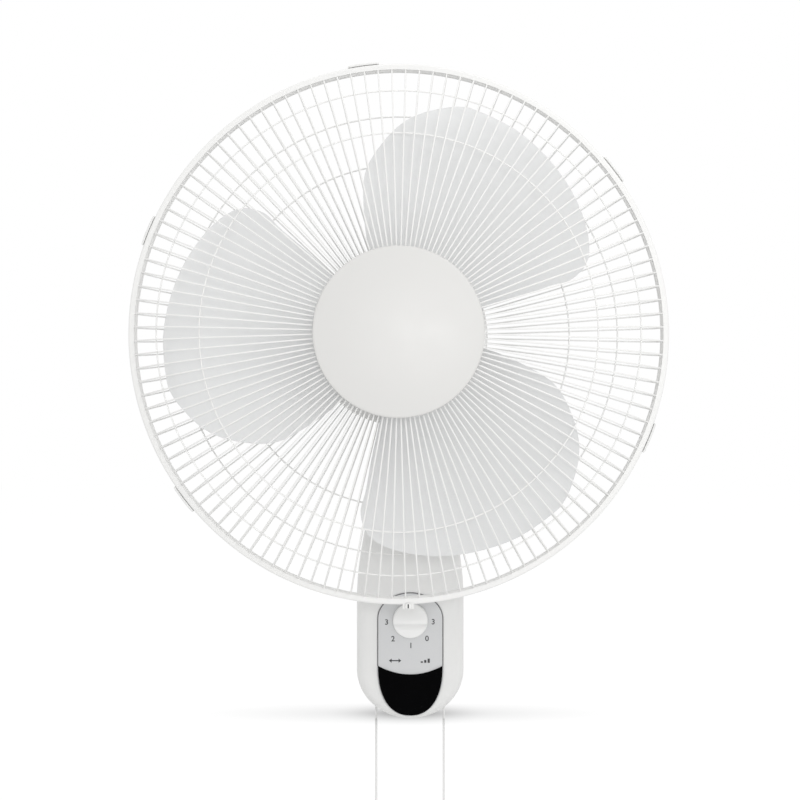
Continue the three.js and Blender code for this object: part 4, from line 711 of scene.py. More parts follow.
def spline(knots: Sequence[float], at: float) -> float:
    """A smooth curve through evenly numbered knots.

    Args:
        knots: the values at 0, 1, 2 and so on, with one more past the end.
        at: where to read it.

    Returns:
        The value there.
    """
    i = min(int(at), len(knots) - 3)
    part = at - i
    before, low, high, after = knots[max(i - 1, 0)], knots[i], knots[i + 1], knots[i + 2]
    rise_low, rise_high = (high - before) / 2, (after - low) / 2
    square, cube = part * part, part * part * part
    return (
        low * (2 * cube - 3 * square + 1)
        + rise_low * (cube - 2 * square + part)
        + high * (3 * square - 2 * cube)
        + rise_high * (cube - square)
    )


def smooth_path(points: Sequence[Pair], steps: int) -> list[Pair]:
    """A smooth line through a few points.

    Args:
        points: the points that it passes through.
        steps: how many spans it gets.

    Returns:
        The line's points.
    """
    knots = [*points, points[-1]]
    ends = [[point[axis] for point in knots] for axis in (0, 1)]
    spans = len(points) - 1
    places = [spans * i / steps for i in range(steps + 1)]
    return [(spline(ends[0], at), spline(ends[1], at)) for at in places]


def bands(rows: int, count: int, wrapped: bool = False) -> list[list[int]]:
    """Faces between neighbouring rows of points, each row closed on itself.

    Args:
        rows: how many rows.
        count: points in a row.
        wrapped: whether the last row joins the first.

    Returns:
        The faces.
    """
    faces = []
    for i in range(rows if wrapped else rows - 1):
        j = (i + 1) % rows
        for k in range(count):
            m = (k + 1) % count
            faces.append([i * count + k, i * count + m, j * count + m, j * count + k])
    return faces


def lathe(profile: Sequence[Pair], steps: int, axis: str = "Y", at: Triple = (0.0, 0.0, 0.0)) -> MeshData:
    """A body of revolution.

    Args:
        profile: closed outline of [radius, distance along the axis].
        steps: sides.
        axis: X, Y or Z.
        at: a point that the axis passes through.

    Returns:
        Vertices and faces.
    """
    points = []
    for i in range(steps):
        turn = 2 * math.pi * i / steps
        for radius, along in profile:
            u, v = radius * math.cos(turn), radius * math.sin(turn)
            spot = {"Y": (u, along, v), "Z": (u, v, along), "X": (along, u, v)}[axis]
            points.append(tuple(a + b for a, b in zip(spot, at)))
    return points, bands(steps, len(profile), True)


def turned(head: HeadSizes, profile: Sequence[Pair], steps: int) -> MeshData:
    """A body of revolution about the motor's axis, its closed outline as [radius, y]."""
    return lathe(profile, steps, "Y", (head.x, 0.0, head.z))


def rod(radius: float, start: float, end: float, axis: str, at: Triple, steps: int = 40) -> MeshData:
    """A plain round rod from one place along its axis to another."""
    return lathe([(0.0, start), (radius, start), (radius, end), (0.0, end)], steps, axis, at)


def stacked(rings: Sequence[Sequence[Triple]]) -> MeshData:
    """A closed body through rings of equal count, capped at both ends.

    Args:
        rings: the rings, each a closed row of points.

    Returns:
        Vertices and faces.
    """
    count, last = len(rings[0]), len(rings) - 1
    caps = [list(range(count))[::-1], [last * count + k for k in range(count)]]
    return [point for ring in rings for point in ring], bands(len(rings), count) + caps


def tube(path: Sequence[Triple], radius: float, sides: int) -> MeshData:
    """A round wire along points, closed at both ends.

    Args:
        path: the points of its middle line.
        radius: the wire's radius.
        sides: sides of its section.

    Returns:
        Vertices and faces.
    """
    line = [Vector(point) for point in path]
    turns = [2 * math.pi * k / sides for k in range(sides)]
    rings, side = [], None
    for i, spot in enumerate(line):
        along = (line[min(i + 1, len(line) - 1)] - line[max(i - 1, 0)]).normalized()
        side = along.orthogonal() if side is None else side
        side = (side - along * side.dot(along)).normalized()
        other = along.cross(side)
        rings.append([tuple(spot + side * (radius * math.cos(turn)) + other * (radius * math.sin(turn)))
                      for turn in turns])
    return stacked(rings)


def rounded_plate(outline: Sequence[Pair], front: float, back: float, radius: float, steps: int) -> MeshData:
    """An outline in the x-z plane made thick along Y with a rounded front edge.

    Args:
        outline: anticlockwise points.
        front: y of the front face.
        back: y of the back face.
        radius: the rounding.
        steps: segments of the rounding.

    Returns:
        Vertices and faces.
    """
    rings = [[(u, back, v) for u, v in outline]]
    for i in range(steps + 1):
        turn = math.pi / 2 * i / steps
        ring = inset(outline, radius * (1 - math.cos(turn)))
        rings.append([(u, front + radius * (1 - math.sin(turn)), v) for u, v in ring])
    return stacked(rings)


def slab(outline: Sequence[Pair], low: float, high: float) -> MeshData:
    """An outline in the y-z plane made thick along X."""
    return stacked([[(x, u, v) for u, v in outline] for x in (low, high)])


def box(low: Triple, high: Triple) -> MeshData:
    """A block between two corners, used for cutting and joining."""
    (a, b, c), (d, e, f) = low, high
    return stacked([[(a, b, z), (d, b, z), (d, e, z), (a, e, z)] for z in (c, f)])


def polar(head: HeadSizes, radius: float, y: float, degrees: float) -> Triple:
    """A point about the motor axis, its angle anticlockwise from +X as seen from the front."""
    turn = math.radians(degrees)
    return (head.x + radius * math.cos(turn), y, head.z + radius * math.sin(turn))


def beside(head: HeadSizes, degrees: float, radius: float, aside: float, y: float) -> Triple:
    """A point about the motor axis, moved along the tangent.

    Args:
        head: the axis's place.
        degrees: the angle, anticlockwise from +X as seen from the front.
        radius: distance from the axis, before the move.
        aside: the move along the tangent.
        y: the point's y.

    Returns:
        The point.
    """
    turn = math.radians(degrees)
    out, tangent = Vector((math.cos(turn), 0, math.sin(turn))), Vector((-math.sin(turn), 0, math.cos(turn)))
    return tuple(Vector((head.x, 0, head.z)) + out * radius + tangent * aside + Vector((0, y, 0)))


def joined(parts: Iterable[MeshData]) -> MeshData:
    """Several meshes in one list of vertices and faces.

    Args:
        parts: the meshes.

    Returns:
        Vertices and faces.
    """
    points: list[Triple] = []
    faces: list[list[int]] = []
    for more_points, more_faces in parts:
        start = len(points)
        points.extend(more_points)
        faces.extend([[start + i for i in face] for face in more_faces])
    return points, faces


def placed(name: str, data: bpy.types.ID) -> Thing:
    """A new object in the scene that shows some data.

    Args:
        name: the object's name.
        data: its mesh, curve, light or camera.

    Returns:
        The object.
    """
    thing = bpy.data.objects.new(name, data)
    bpy.context.scene.collection.objects.link(thing)
    return thing


class Carver:
    """Joins and cuts closed meshes, which are given in millimetres."""

    @staticmethod
    def raw(data: MeshData, name: str = "carve") -> Thing:
        """An object from mesh data, with its faces pointing out.

        Args:
            data: vertices and faces.
            name: the object's name.

        Returns:
            The object.
        """
        mesh = bpy.data.meshes.new(name)
        mesh.from_pydata([tuple(value * MM for value in point) for point in data[0]], [], data[1])
        mesh.validate()
        thing = placed(name, mesh)
        Carver.outward(mesh)
        return thing

    @staticmethod
    def outward(mesh: bpy.types.Mesh) -> None:
        """Welds doubled points and turns all faces outwards.

        Args:
            mesh: the mesh to mend.
        """
        work = bmesh.new()
        work.from_mesh(mesh)
        bmesh.ops.remove_doubles(work, verts=work.verts, dist=1e-7)
        bmesh.ops.dissolve_degenerate(work, edges=work.edges, dist=1e-8)
        bmesh.ops.recalc_face_normals(work, faces=work.faces)
        work.to_mesh(mesh)
        work.free()

    @staticmethod
    def apply(thing: Thing) -> None:
        """Turns an object's modifiers into its mesh.

        Args:
            thing: the object.
        """
        graph = bpy.context.evaluated_depsgraph_get()
        mesh = bpy.data.meshes.new_from_object(thing.evaluated_get(graph))
        old = thing.data
        thing.modifiers.clear()
        thing.data = mesh
        bpy.data.meshes.remove(old)

    @staticmethod
    def work(thing: Thing, how: str, *tools: MeshData) -> Thing:
        """Cuts, joins or intersects an object with tools.

        Args:
            thing: the object that changes.
            how: UNION, DIFFERENCE or INTERSECT.
            tools: closed meshes.

        Returns:
            The same object.
        """
        for data in tools:
            Carver.against(thing, how, Carver.raw(data, "tool"))
        return thing

    @staticmethod
    def against(thing: Thing, how: str, tool: Thing) -> None:
        """Cuts, joins or intersects an object with another one, which it uses up.

        Args:
            thing: the object that changes.
            how: UNION, DIFFERENCE or INTERSECT.
            tool: the object that is used up.
        """
        step = thing.modifiers.new("carve", "BOOLEAN")
        step.operation = how
        step.solver = "EXACT"
        step.object = tool
        Carver.apply(thing)
        bpy.data.objects.remove(tool)


# ---------------------------------------------------------------- the bench that makes pieces
@dataclass
class Bench:
    """Makes pieces from mesh data and keeps count of them."""

    nodes: dict[str, Thing]
    palette: Palette = field(default_factory=Palette)
    count: int = 0

    def piece(self, name: str, shape: MeshData | Thing, tone: Tone, body: str,
              nodes: Sequence[str] = (), slot: str | None = None, edge: float = 0.0) -> Thing:
        """A finished piece on its body.

        Args:
            name: the piece's name.
            shape: mesh data in millimetres, or a carved object.
            tone: its finish.
            body: the CAD body that it rides on.
            nodes: CAD nodes that it stands for.
            slot: a material slot's name, which is not used.
            edge: radius in millimetres to soften sharp edges by.

        Returns:
            The piece.
        """
        thing = shape if isinstance(shape, Thing) else Carver.raw(shape, name)
        thing.name = name
        thing.data.name = name
        if edge:
            self.soften(thing, edge, 3)
            Carver.apply(thing)
        self.coat(thing, tone)
        thing.modifiers.new("normals", "WEIGHTED_NORMAL").keep_sharp = True
        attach(thing, body)
        if nodes:
            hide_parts(*nodes)
        self.count += 1
        LOG.info("piece %s: %d faces, %s, on %s", name, len(thing.data.polygons), tone.value, body)
        return thing

    @staticmethod
    def soften(thing: Thing, edge: float, segments: int) -> None:
        """Adds a bevel in millimetres to an object's sharp edges.

        Args:
            thing: the object.
            edge: the bevel's width.
            segments: the steps that it has.
        """
        soft = thing.modifiers.new("edges", "BEVEL")
        soft.width = edge * MM
        soft.segments = segments
        soft.limit_method = "ANGLE"
        soft.angle_limit = math.radians(BEVEL_ANGLE)

    def coat(self, thing: Thing, tone: Tone) -> None:
        """Shades an object smooth, with its sharp edges kept, and gives it a finish.

        Args:
            thing: the object.
            tone: its finish.
        """
        thing.data.shade_smooth()
        thing.data.set_sharp_from_angle(angle=math.radians(SHARP_ANGLE))
        thing.data.materials.clear()
        thing.data.materials.append(self.palette.pick(tone))

    def dress(self, name: str, tone: Tone, edge: float = 0.0) -> None:
        """Gives a carried-over CAD node its finish and soft edges.

        Args:
            name: the node's name.
            tone: its finish.
            edge: radius in millimetres to soften sharp edges by.
        """
        thing = self.nodes[name]
        self.coat(thing, tone)
        if edge:
            self.soften(thing, edge, 2)
        LOG.info("node %s dressed in %s", name, tone.value)


@dataclass
class Assembly(ABC):
    """A sub-assembly of the fan, made on a bench."""

    bench: Bench

    @abstractmethod
    def build(self) -> None:
        """Makes the sub-assembly's pieces."""

    def dress(self) -> None:
        """Dresses the CAD nodes that the sub-assembly keeps."""


# ---------------------------------------------------------------- pull cords
@dataclass
class PullCords(Assembly):
    """The two pull cords with their handles and bushes."""

    sizes: CordSizes = CordSizes()

    def build(self) -> None:
        """Makes both cords with their handles and bushes."""
        self.one("swing", -1.0)
        self.one("speed", 1.0)

    def one(self, use: str, hand: float) -> None:
        """One cord: its line, its handle and its bush.

        Args:
            use: the start of its nodes' names.
            hand: -1 for the left one, 1 for the right one.
        """
        s = self.sizes
        x, y = hand * s.x, s.y
        drop = (s.end - s.top) / s.points
        route = [(x * MM, y * MM, (s.top + drop * i) * MM) for i in range(s.points + 1)]
        handle = self.bench.piece(f"{use}_handle_fine", lathe(self.handle_profile(), 40, "Z", (x, y, 0.0)),
                                  Tone.KNOB, f"{use}_pull", [f"{use}_pull_handle"], "cord")
        line = self.line(f"{use}_cord_line", route, f"{use}_pull")
        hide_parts(f"{use}_pull_cord")
        self.bench.piece(f"{use}_bush_fine", lathe(self.bush_profile(), 40, "Z", (x, y, 0.0)), Tone.HOUSING,
                         "wall_unit", [f"{use}_cord_bush"], "housing")

    def handle_profile(self) -> list[Pair]:
        """The drop-shaped handle, [radius, z].

        Returns:
            The closed outline.
        """
        s = self.sizes
        top, bottom = s.end - 0.3, s.end - 0.3 - s.handle_height
        shape = [(0.0, 0.0), (0.45, 0.0), (0.7, 0.03), (0.86, 0.1), (0.98, 0.2), (0.94, 0.35), (0.8, 0.55),
                 (0.6, 0.78), (0.42, 0.93), (0.38, 1.0), (0.3, 1.0), (0.0, 1.0)]
        return [(s.handle_radius * r, bottom + (top - bottom) * z) for r, z in shape]

    def bush_profile(self) -> list[Pair]:
        """The bush, [radius, z], with a rounded mouth.

        Returns:
            The closed outline.
        """
        s = self.sizes
        mouth = arc(s.bush_radius - 0.9, s.bush_bottom + 0.9, 0.9, 0, -90, 5)
        return [(s.bush_bore + 0.3, s.bush_bottom), (s.bush_bore, s.bush_bottom + 0.5), (s.bush_bore, -69.7),
                (5.2, -69.7), (5.2, -71.7), (s.bush_radius, -71.7), *mouth]

    def line(self, name: str, route: Sequence[Triple], body: str) -> Thing:
        """The cord itself as a curve.

        Args:
            name: the piece's name.
            route: its points, in metres.
            body: the body that it rides on.

        Returns:
            The curve object.
        """
        curve = bpy.data.curves.new(name, "CURVE")
        curve.dimensions = "3D"
        curve.bevel_depth = self.sizes.radius * MM
        curve.bevel_resolution = 6
        curve.use_fill_caps = True
        strand = curve.splines.new("POLY")
        strand.points.add(len(route) - 1)
        for point, spot in zip(strand.points, route):
            point.co = (*spot, 1.0)
        curve.materials.append(self.bench.palette.pick(Tone.CORD))
        thing = placed(name, curve)
        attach(thing, body)
        LOG.info("piece %s: cord of %d points", name, len(route))
        return thing


# ---------------------------------------------------------------- housings
@dataclass
class BodyForm:
    """The outer form of the wall unit, finely stepped."""

    sizes: BodySizes = BodySizes()

    def edge(self) -> list[Pair]:
        """The closed front outline, anticlockwise from the bottom.

        Returns:
            The outline's points, [x, z].
        """
        s = self.sizes
        drop = s.egg_top - s.bottom
        egg = [(u * s.half_width, s.egg_top + v * drop) for u, v in arc(0, 0, 1, -90, 0, 22)]
        reach, steps = s.tilt_z - s.straight_top, 28
        taper = []
        for i in range(steps + 1):
            part = i / steps
            eased = part * part * (3 - 2 * part) * 0.6 + part * part * 0.4
            wide = s.half_width - (s.half_width - s.neck_half_width) * eased
            taper.append((wide, s.straight_top + part * reach))
        half = [*egg, *taper, (s.neck_half_width, s.tilt_z + s.dome + s.shell)]
        return [*half, *[(-u, v) for u, v in reversed(half[1:])]]

    def side(self) -> list[Pair]:
        """The closed side outline in the y-z plane.

        Returns:
            The outline's points, [y, z].
        """
        s = self.sizes
        under = s.bottom - s.shell
        return [(-s.depth, under), (s.back, under), (s.back, s.slant_start),
                *arc(s.tilt_y, s.tilt_z, s.dome, s.dome_start, 180, 40)]

    def solid(self, drawn_in: float) -> Thing:
        """The form drawn in by a distance, as an object to carve.

        Args:
            drawn_in: how far inside the surface it lies.

        Returns:
            The object.
        """
        s = self.sizes
        front, edge = -s.depth + drawn_in, s.edge - drawn_in
        thing = Carver.raw(rounded_plate(inset(self.edge(), drawn_in), front, s.depth, edge, 8), "body")
        side = slab(inset(self.side(), drawn_in), -s.half_width - 9, s.half_width + 9)
        return Carver.work(thing, "INTERSECT", side)

    def half(self, front: bool) -> MeshData:
        """Everything in front of, or behind, the parting plane.

        Args:
            front: whether the front part is wanted.

        Returns:
            A block's vertices and faces.
        """
        s = self.sizes
        far, roof = 200.0, 250.0
        low = -far if front else s.parting + s.fit / 2
        high = s.parting - s.fit / 2 if front else far
        return box((-far, low, -far), (far, high, roof))

    def neck_slot(self) -> MeshData:
        """The slot that the neck's stem tilts in.

        Returns:
            Vertices and faces.
        """
        s = self.sizes
        stem = math.degrees(math.asin(s.stem / s.dome)) + math.degrees(s.stem_play / s.dome)
        start, stop = 90 - stem, 90 + stem + s.tilt_range
        ring = [*arc(s.tilt_y, s.tilt_z, s.dome + s.shell, start, stop, 16),
                *arc(s.tilt_y, s.tilt_z, s.slot_floor, stop, start, 16)]
        return slab(ring, -s.tongue, s.tongue)


@dataclass
class Housings(Assembly):
    """The two moulded housings of the wall unit: their form and the panel that they carry."""

    form: BodyForm
    panel: PanelSizes

    def build(self) -> None:
        """Makes both housings."""
        self.front(self.hollow(True))
        self.rear(self.hollow(False))

    def hollow(self, front: bool) -> Thing:
        """The hollow form in front of or behind the parting plane.

        Args:
            front: whether the front part is wanted.

        Returns:
            The object.
        """
        shell, inner = self.form.solid(0.0), self.form.solid(self.form.sizes.shell)
        Carver.against(shell, "DIFFERENCE", inner)
        return Carver.work(shell, "INTERSECT", self.form.half(front))

    def front(self, shell: Thing) -> None:
        """The front housing, with the panel's recess and the holes for what comes through it.

        Args:
            shell: its hollow form.
        """
        s = self.form.sizes
        recess = rounded_plate(panel_outline(self.panel, s.fit, 24), -s.depth - 3, -s.depth + 1.0, 0.2, 1)
        bore = rod(self.panel.shaft_bore, *self.panel.bore_span, "Y", (0, 0, self.panel.knob_z))
        Carver.work(shell, "DIFFERENCE", recess, bore, self.form.neck_slot(), *self.cord_holes())
        self.bench.piece("front_housing_fine", shell, Tone.HOUSING, "wall_unit", ["front_housing"], "housing",
                         edge=0.35)

    def rear(self, shell: Thing) -> None:
        """The rear housing, with its screw posts, the bolt's cheeks and the holes in its back.

        Args:
            shell: its hollow form.
        """
        s = self.form.sizes
        inside = s.back - s.shell + 0.6
        posts = [rod(s.post_radius, s.parting + s.fit / 2, inside, "Y", (x, 0, z)) for x, z in s.screw_places]
        Carver.work(shell, "UNION", *posts, *self.cheeks())
        wells = [rod(s.well_radius, -s.screw_seat, 0.3, "Y", (x, 0, z)) for x, z in s.screw_places]
        bores = [rod(s.bore_radius, -s.depth, 0.0, "Y", (x, 0, z)) for x, z in s.screw_places]
        hooks = [box((x - s.hook_half, inside - 1.6, s.hook_low), (x + s.hook_half, s.back + 1, s.hook_top))
                 for x in s.hook_places]
        gland = rod(s.gland_radius, s.bottom - 2.5, s.bottom + 15, "Z", (*s.gland, 0))
        bolt = rod(s.bolt_bore, -s.half_width / 2, s.half_width / 2, "X", (0, s.tilt_y, s.tilt_z))
        Carver.work(shell, "DIFFERENCE", *wells, *bores, *hooks, gland, bolt, self.form.neck_slot(),
                    *self.cord_holes())
        self.bench.piece("rear_housing_fine", shell, Tone.HOUSING, "wall_unit", ["rear_housing"], "housing",
                         edge=0.3)

    def cord_holes(self) -> list[MeshData]:
        """The holes that the cords' bushes sit in."""
        s = self.form.sizes
        return [rod(s.cord_bore, s.bottom - 9, s.bottom + 21, "Z", (x, s.cord_y, 0)) for x in s.cord_places]

    def cheeks(self) -> list[MeshData]:
        """The two cheeks that carry the tilt bolt.

        Returns:
            The vertices and faces of each.
        """
        s = self.form.sizes
        r, lean = s.cheek_radius, math.radians(s.dome_start)
        meet_y, meet_z = s.tilt_y + s.dome * math.cos(lean), s.tilt_z + s.dome * math.sin(lean)
        slope = (meet_y - s.back) / (meet_z - s.slant_start)
        low = s.tilt_z - 2.4 * r
        behind = [(s.back + slope * (z - s.slant_start) - 1.0, z) for z in (low, s.tilt_z - r)]
        side = [*arc(s.tilt_y, s.tilt_z, r, 60, 250, 32), (s.tilt_y + r * 0.5, low), *behind]
        near, far = s.tongue, s.tongue + s.cheek
        return [slab(side, near, far), slab(side, -far, -near)]

    def dress(self) -> None:
        """Dresses the bracket."""
        self.bench.dress("wall_bracket", Tone.STEEL, edge=0.3)


# ---------------------------------------------------------------- control panel
def full_foot(panel: PanelSizes, steps: int) -> list[Pair]:
    """The lower half of a unit oval, a little fuller than an ellipse, from left to right.

    Args:
        panel: the panel's sizes.
        steps: spans along the half oval.

    Returns:
        Its points.
    """
    power = 2 / panel.fullness
    half = arc(0, 0, 1, 180, 360, steps)
    return [(math.copysign(abs(u) ** power, u), -(abs(v) ** power)) for u, v in half]


def panel_outline(panel: PanelSizes, margin: float, steps: int) -> list[Pair]:
    """The panel's closed outline, grown by a margin.

    Args:
        panel: the panel's sizes.
        margin: how far to grow it.
        steps: spans along each half.

    Returns:
        The outline's points.
    """
    half = panel.half_width + margin
    top, foot = panel.top + margin - panel.arch, panel.bottom - margin + panel.foot
    arch = [(half * u, top + panel.arch * v) for u, v in arc(0, 0, 1, 0, 180, steps)]
    base = [(half * u, foot + panel.foot * v) for u, v in full_foot(panel, steps)]
    return [*arch, *base]


def window_outline(panel: PanelSizes, steps: int) -> list[Pair]:
    """The dark window's closed outline: the panel's foot below a sagging upper edge.

    Args:
        panel: the panel's sizes.
        steps: spans along each half.

    Returns:
        The outline's points.
    """
    half = panel.half_width - 0.5
    low = panel.foot - 0.7
    foot = [(half * u, panel.window_top + low * v) for u, v in full_foot(panel, steps)]
    edge = []
    for i in range(1, steps):
        part = 1 - 2 * i / steps
        edge.append((half * part, panel.window_top - panel.window_sag * (1 - part * part)))
    return [*foot, *edge]


@dataclass
class ControlPanel(Assembly):
    """The silver panel with its border, dial numbers, marks, window and knob."""

    sizes: PanelSizes = PanelSizes()

    def build(self) -> None:
        """Makes the panel's pieces."""
        s = self.sizes
        plate = Carver.raw(rounded_plate(panel_outline(s, 0.0, 40), s.front, s.front + s.plate, 0.3, 3))
        Carver.work(plate, "DIFFERENCE", rod(s.shaft_bore, *s.bore_span, "Y", (0, 0, s.knob_z), 32))
        self.bench.piece("panel_fine", plate, Tone.PANEL, "wall_unit", ["control_panel"], "panel")
        edge = inset(panel_outline(s, 0.0, 48), s.border_inset)
        line = [point for point in edge if point[1] > s.window_top + 0.5]
        ends = [(side * (s.half_width - s.border_inset), s.window_top) for side in (1, -1)]
        border = [(u, s.front - 0.06, v) for u, v in (ends[0], *line, ends[1])]
        self.bench.piece("panel_border", tube(border, s.border_wire, 8), Tone.BORDER, "wall_unit")
        lens = rounded_plate(window_outline(s, 40), s.front - 0.1 - s.window_plate, s.front - 0.1, 0.5, 5)
        self.bench.piece("window_fine", lens, Tone.WINDOW, "wall_unit", ["window_lens"], "window")
        self.numbers()
        self.marks()
        self.knob()

    def numbers(self) -> None:
        """Prints the plain numbers round the dial."""
        s = self.sizes
        places = (("3", -20.7, -6.6), ("2", -15.1, -21.2), ("1", 0.5, -27.1), ("0", 14.6, -20.9),
                  ("3", 20.1, -6.3))
        for i, (digit, x, z) in enumerate(places):
            text = bpy.data.curves.new(f"dial_{i}", "FONT")
            text.body = digit
            text.align_x, text.align_y = "CENTER", "CENTER"
            text.size, text.extrude, text.offset = s.numeral * MM, s.ink * MM, s.bolder * MM
            text.materials.append(self.bench.palette.pick(Tone.PRINT))
            thing = placed(f"dial_number_{i}", text)
            thing.rotation_euler = (math.pi / 2, 0, 0)
            thing.location = (x * MM, s.print_y * MM, (z - s.dial_drop) * MM)
            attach(thing, "wall_unit")
            LOG.info("piece dial_number_%d: the figure %s, on wall_unit", i, digit)

    def marks(self) -> None:
        """Prints two plain signs: a two-ended arrow and rising bars."""
        s = self.sizes
        z, near, far = s.mark_z, s.print_y - s.ink, s.print_y + s.ink
        left, right = -13.3, 13.3
        arrow = [(-5.4, 0.0), (-3.0, 1.9), (-3.0, 0.5), (3.0, 0.5), (3.0, 1.9), (5.4, 0.0), (3.0, -1.9),
                 (3.0, -0.5), (-3.0, -0.5), (-3.0, -1.9)]
        swing = stacked([[(left + u, y, z + v) for u, v in reversed(arrow)] for y in (near, far)])
        self.bench.piece("swing_mark", swing, Tone.PRINT, "wall_unit")
        bars = []
        for i in range(3):
            start = right - 4.2 + 3.0 * i
            bars.append(box((start, near, z - 1.9), (right - 2.2 + 3.0 * i, far, z - 0.6 + 1.2 * i)))
        self.bench.piece("speed_mark", joined(bars), Tone.PRINT, "wall_unit")

    def knob(self) -> None:
        """The knob: a round skirt under a grip that rises to a ridge."""
        s = self.sizes
        at = (0, 0, s.knob_z)
        back = s.front - 0.6
        top = back - s.knob_height * 0.4
        rim = arc(s.knob_radius - 1.6, top + 1.6, 1.6, -90, 0, 8)
        skirt = lathe([(0.0, back - 3.6), (0.0, top - 0.5), (6.0, top - 0.35), *rim, (s.knob_radius, back),
                       (3.3, back), (3.3, back - 3.6)], 96, "Y", at)
        ridge = Carver.raw(self.grip(top, back - s.knob_height))
        Carver.work(ridge, "INTERSECT", rod(s.knob_radius - 0.5, back - s.knob_height - 1, back, "Y", at, 96))
        thing = Carver.raw(skirt)
        Carver.against(thing, "UNION", ridge)
        self.bench.piece("knob_fine", thing, Tone.KNOB, "knob", ["speed_knob"], "switch", edge=0.5)

    def grip(self, base: float, front: float) -> MeshData:
        """The grip: a swell that rises slowly from the knob's upper edge and drops steeply below its ridge.

        Args:
            base: y of the skirt's face.
            front: y of the ridge.

        Returns:
            Vertices and faces.
        """
        s = self.sizes
        rise, steps = base - front, 24
        side = [(1.0, -0.16), (0.8, 0.1), (0.55, 0.42), (0.3, 0.75), (0.12, 0.95), (0.0, 1.0), (-0.08, 0.99),
                (-0.12, 0.94), (-0.15, 0.84), (-0.2, 0.62), (-0.28, 0.38), (-0.38, 0.18), (-0.5, 0.04),
                (-0.6, -0.16)]
        rings = []
        for i in range(steps + 1):
            u = -1 + 2 * i / steps
            low = 1 - 0.3 * u * u
            rings.append([(u * s.knob_radius, base - rise * part * low if part > 0 else base - rise * part,
                           s.knob_z + v * s.knob_radius) for v, part in side])
        return stacked(rings)


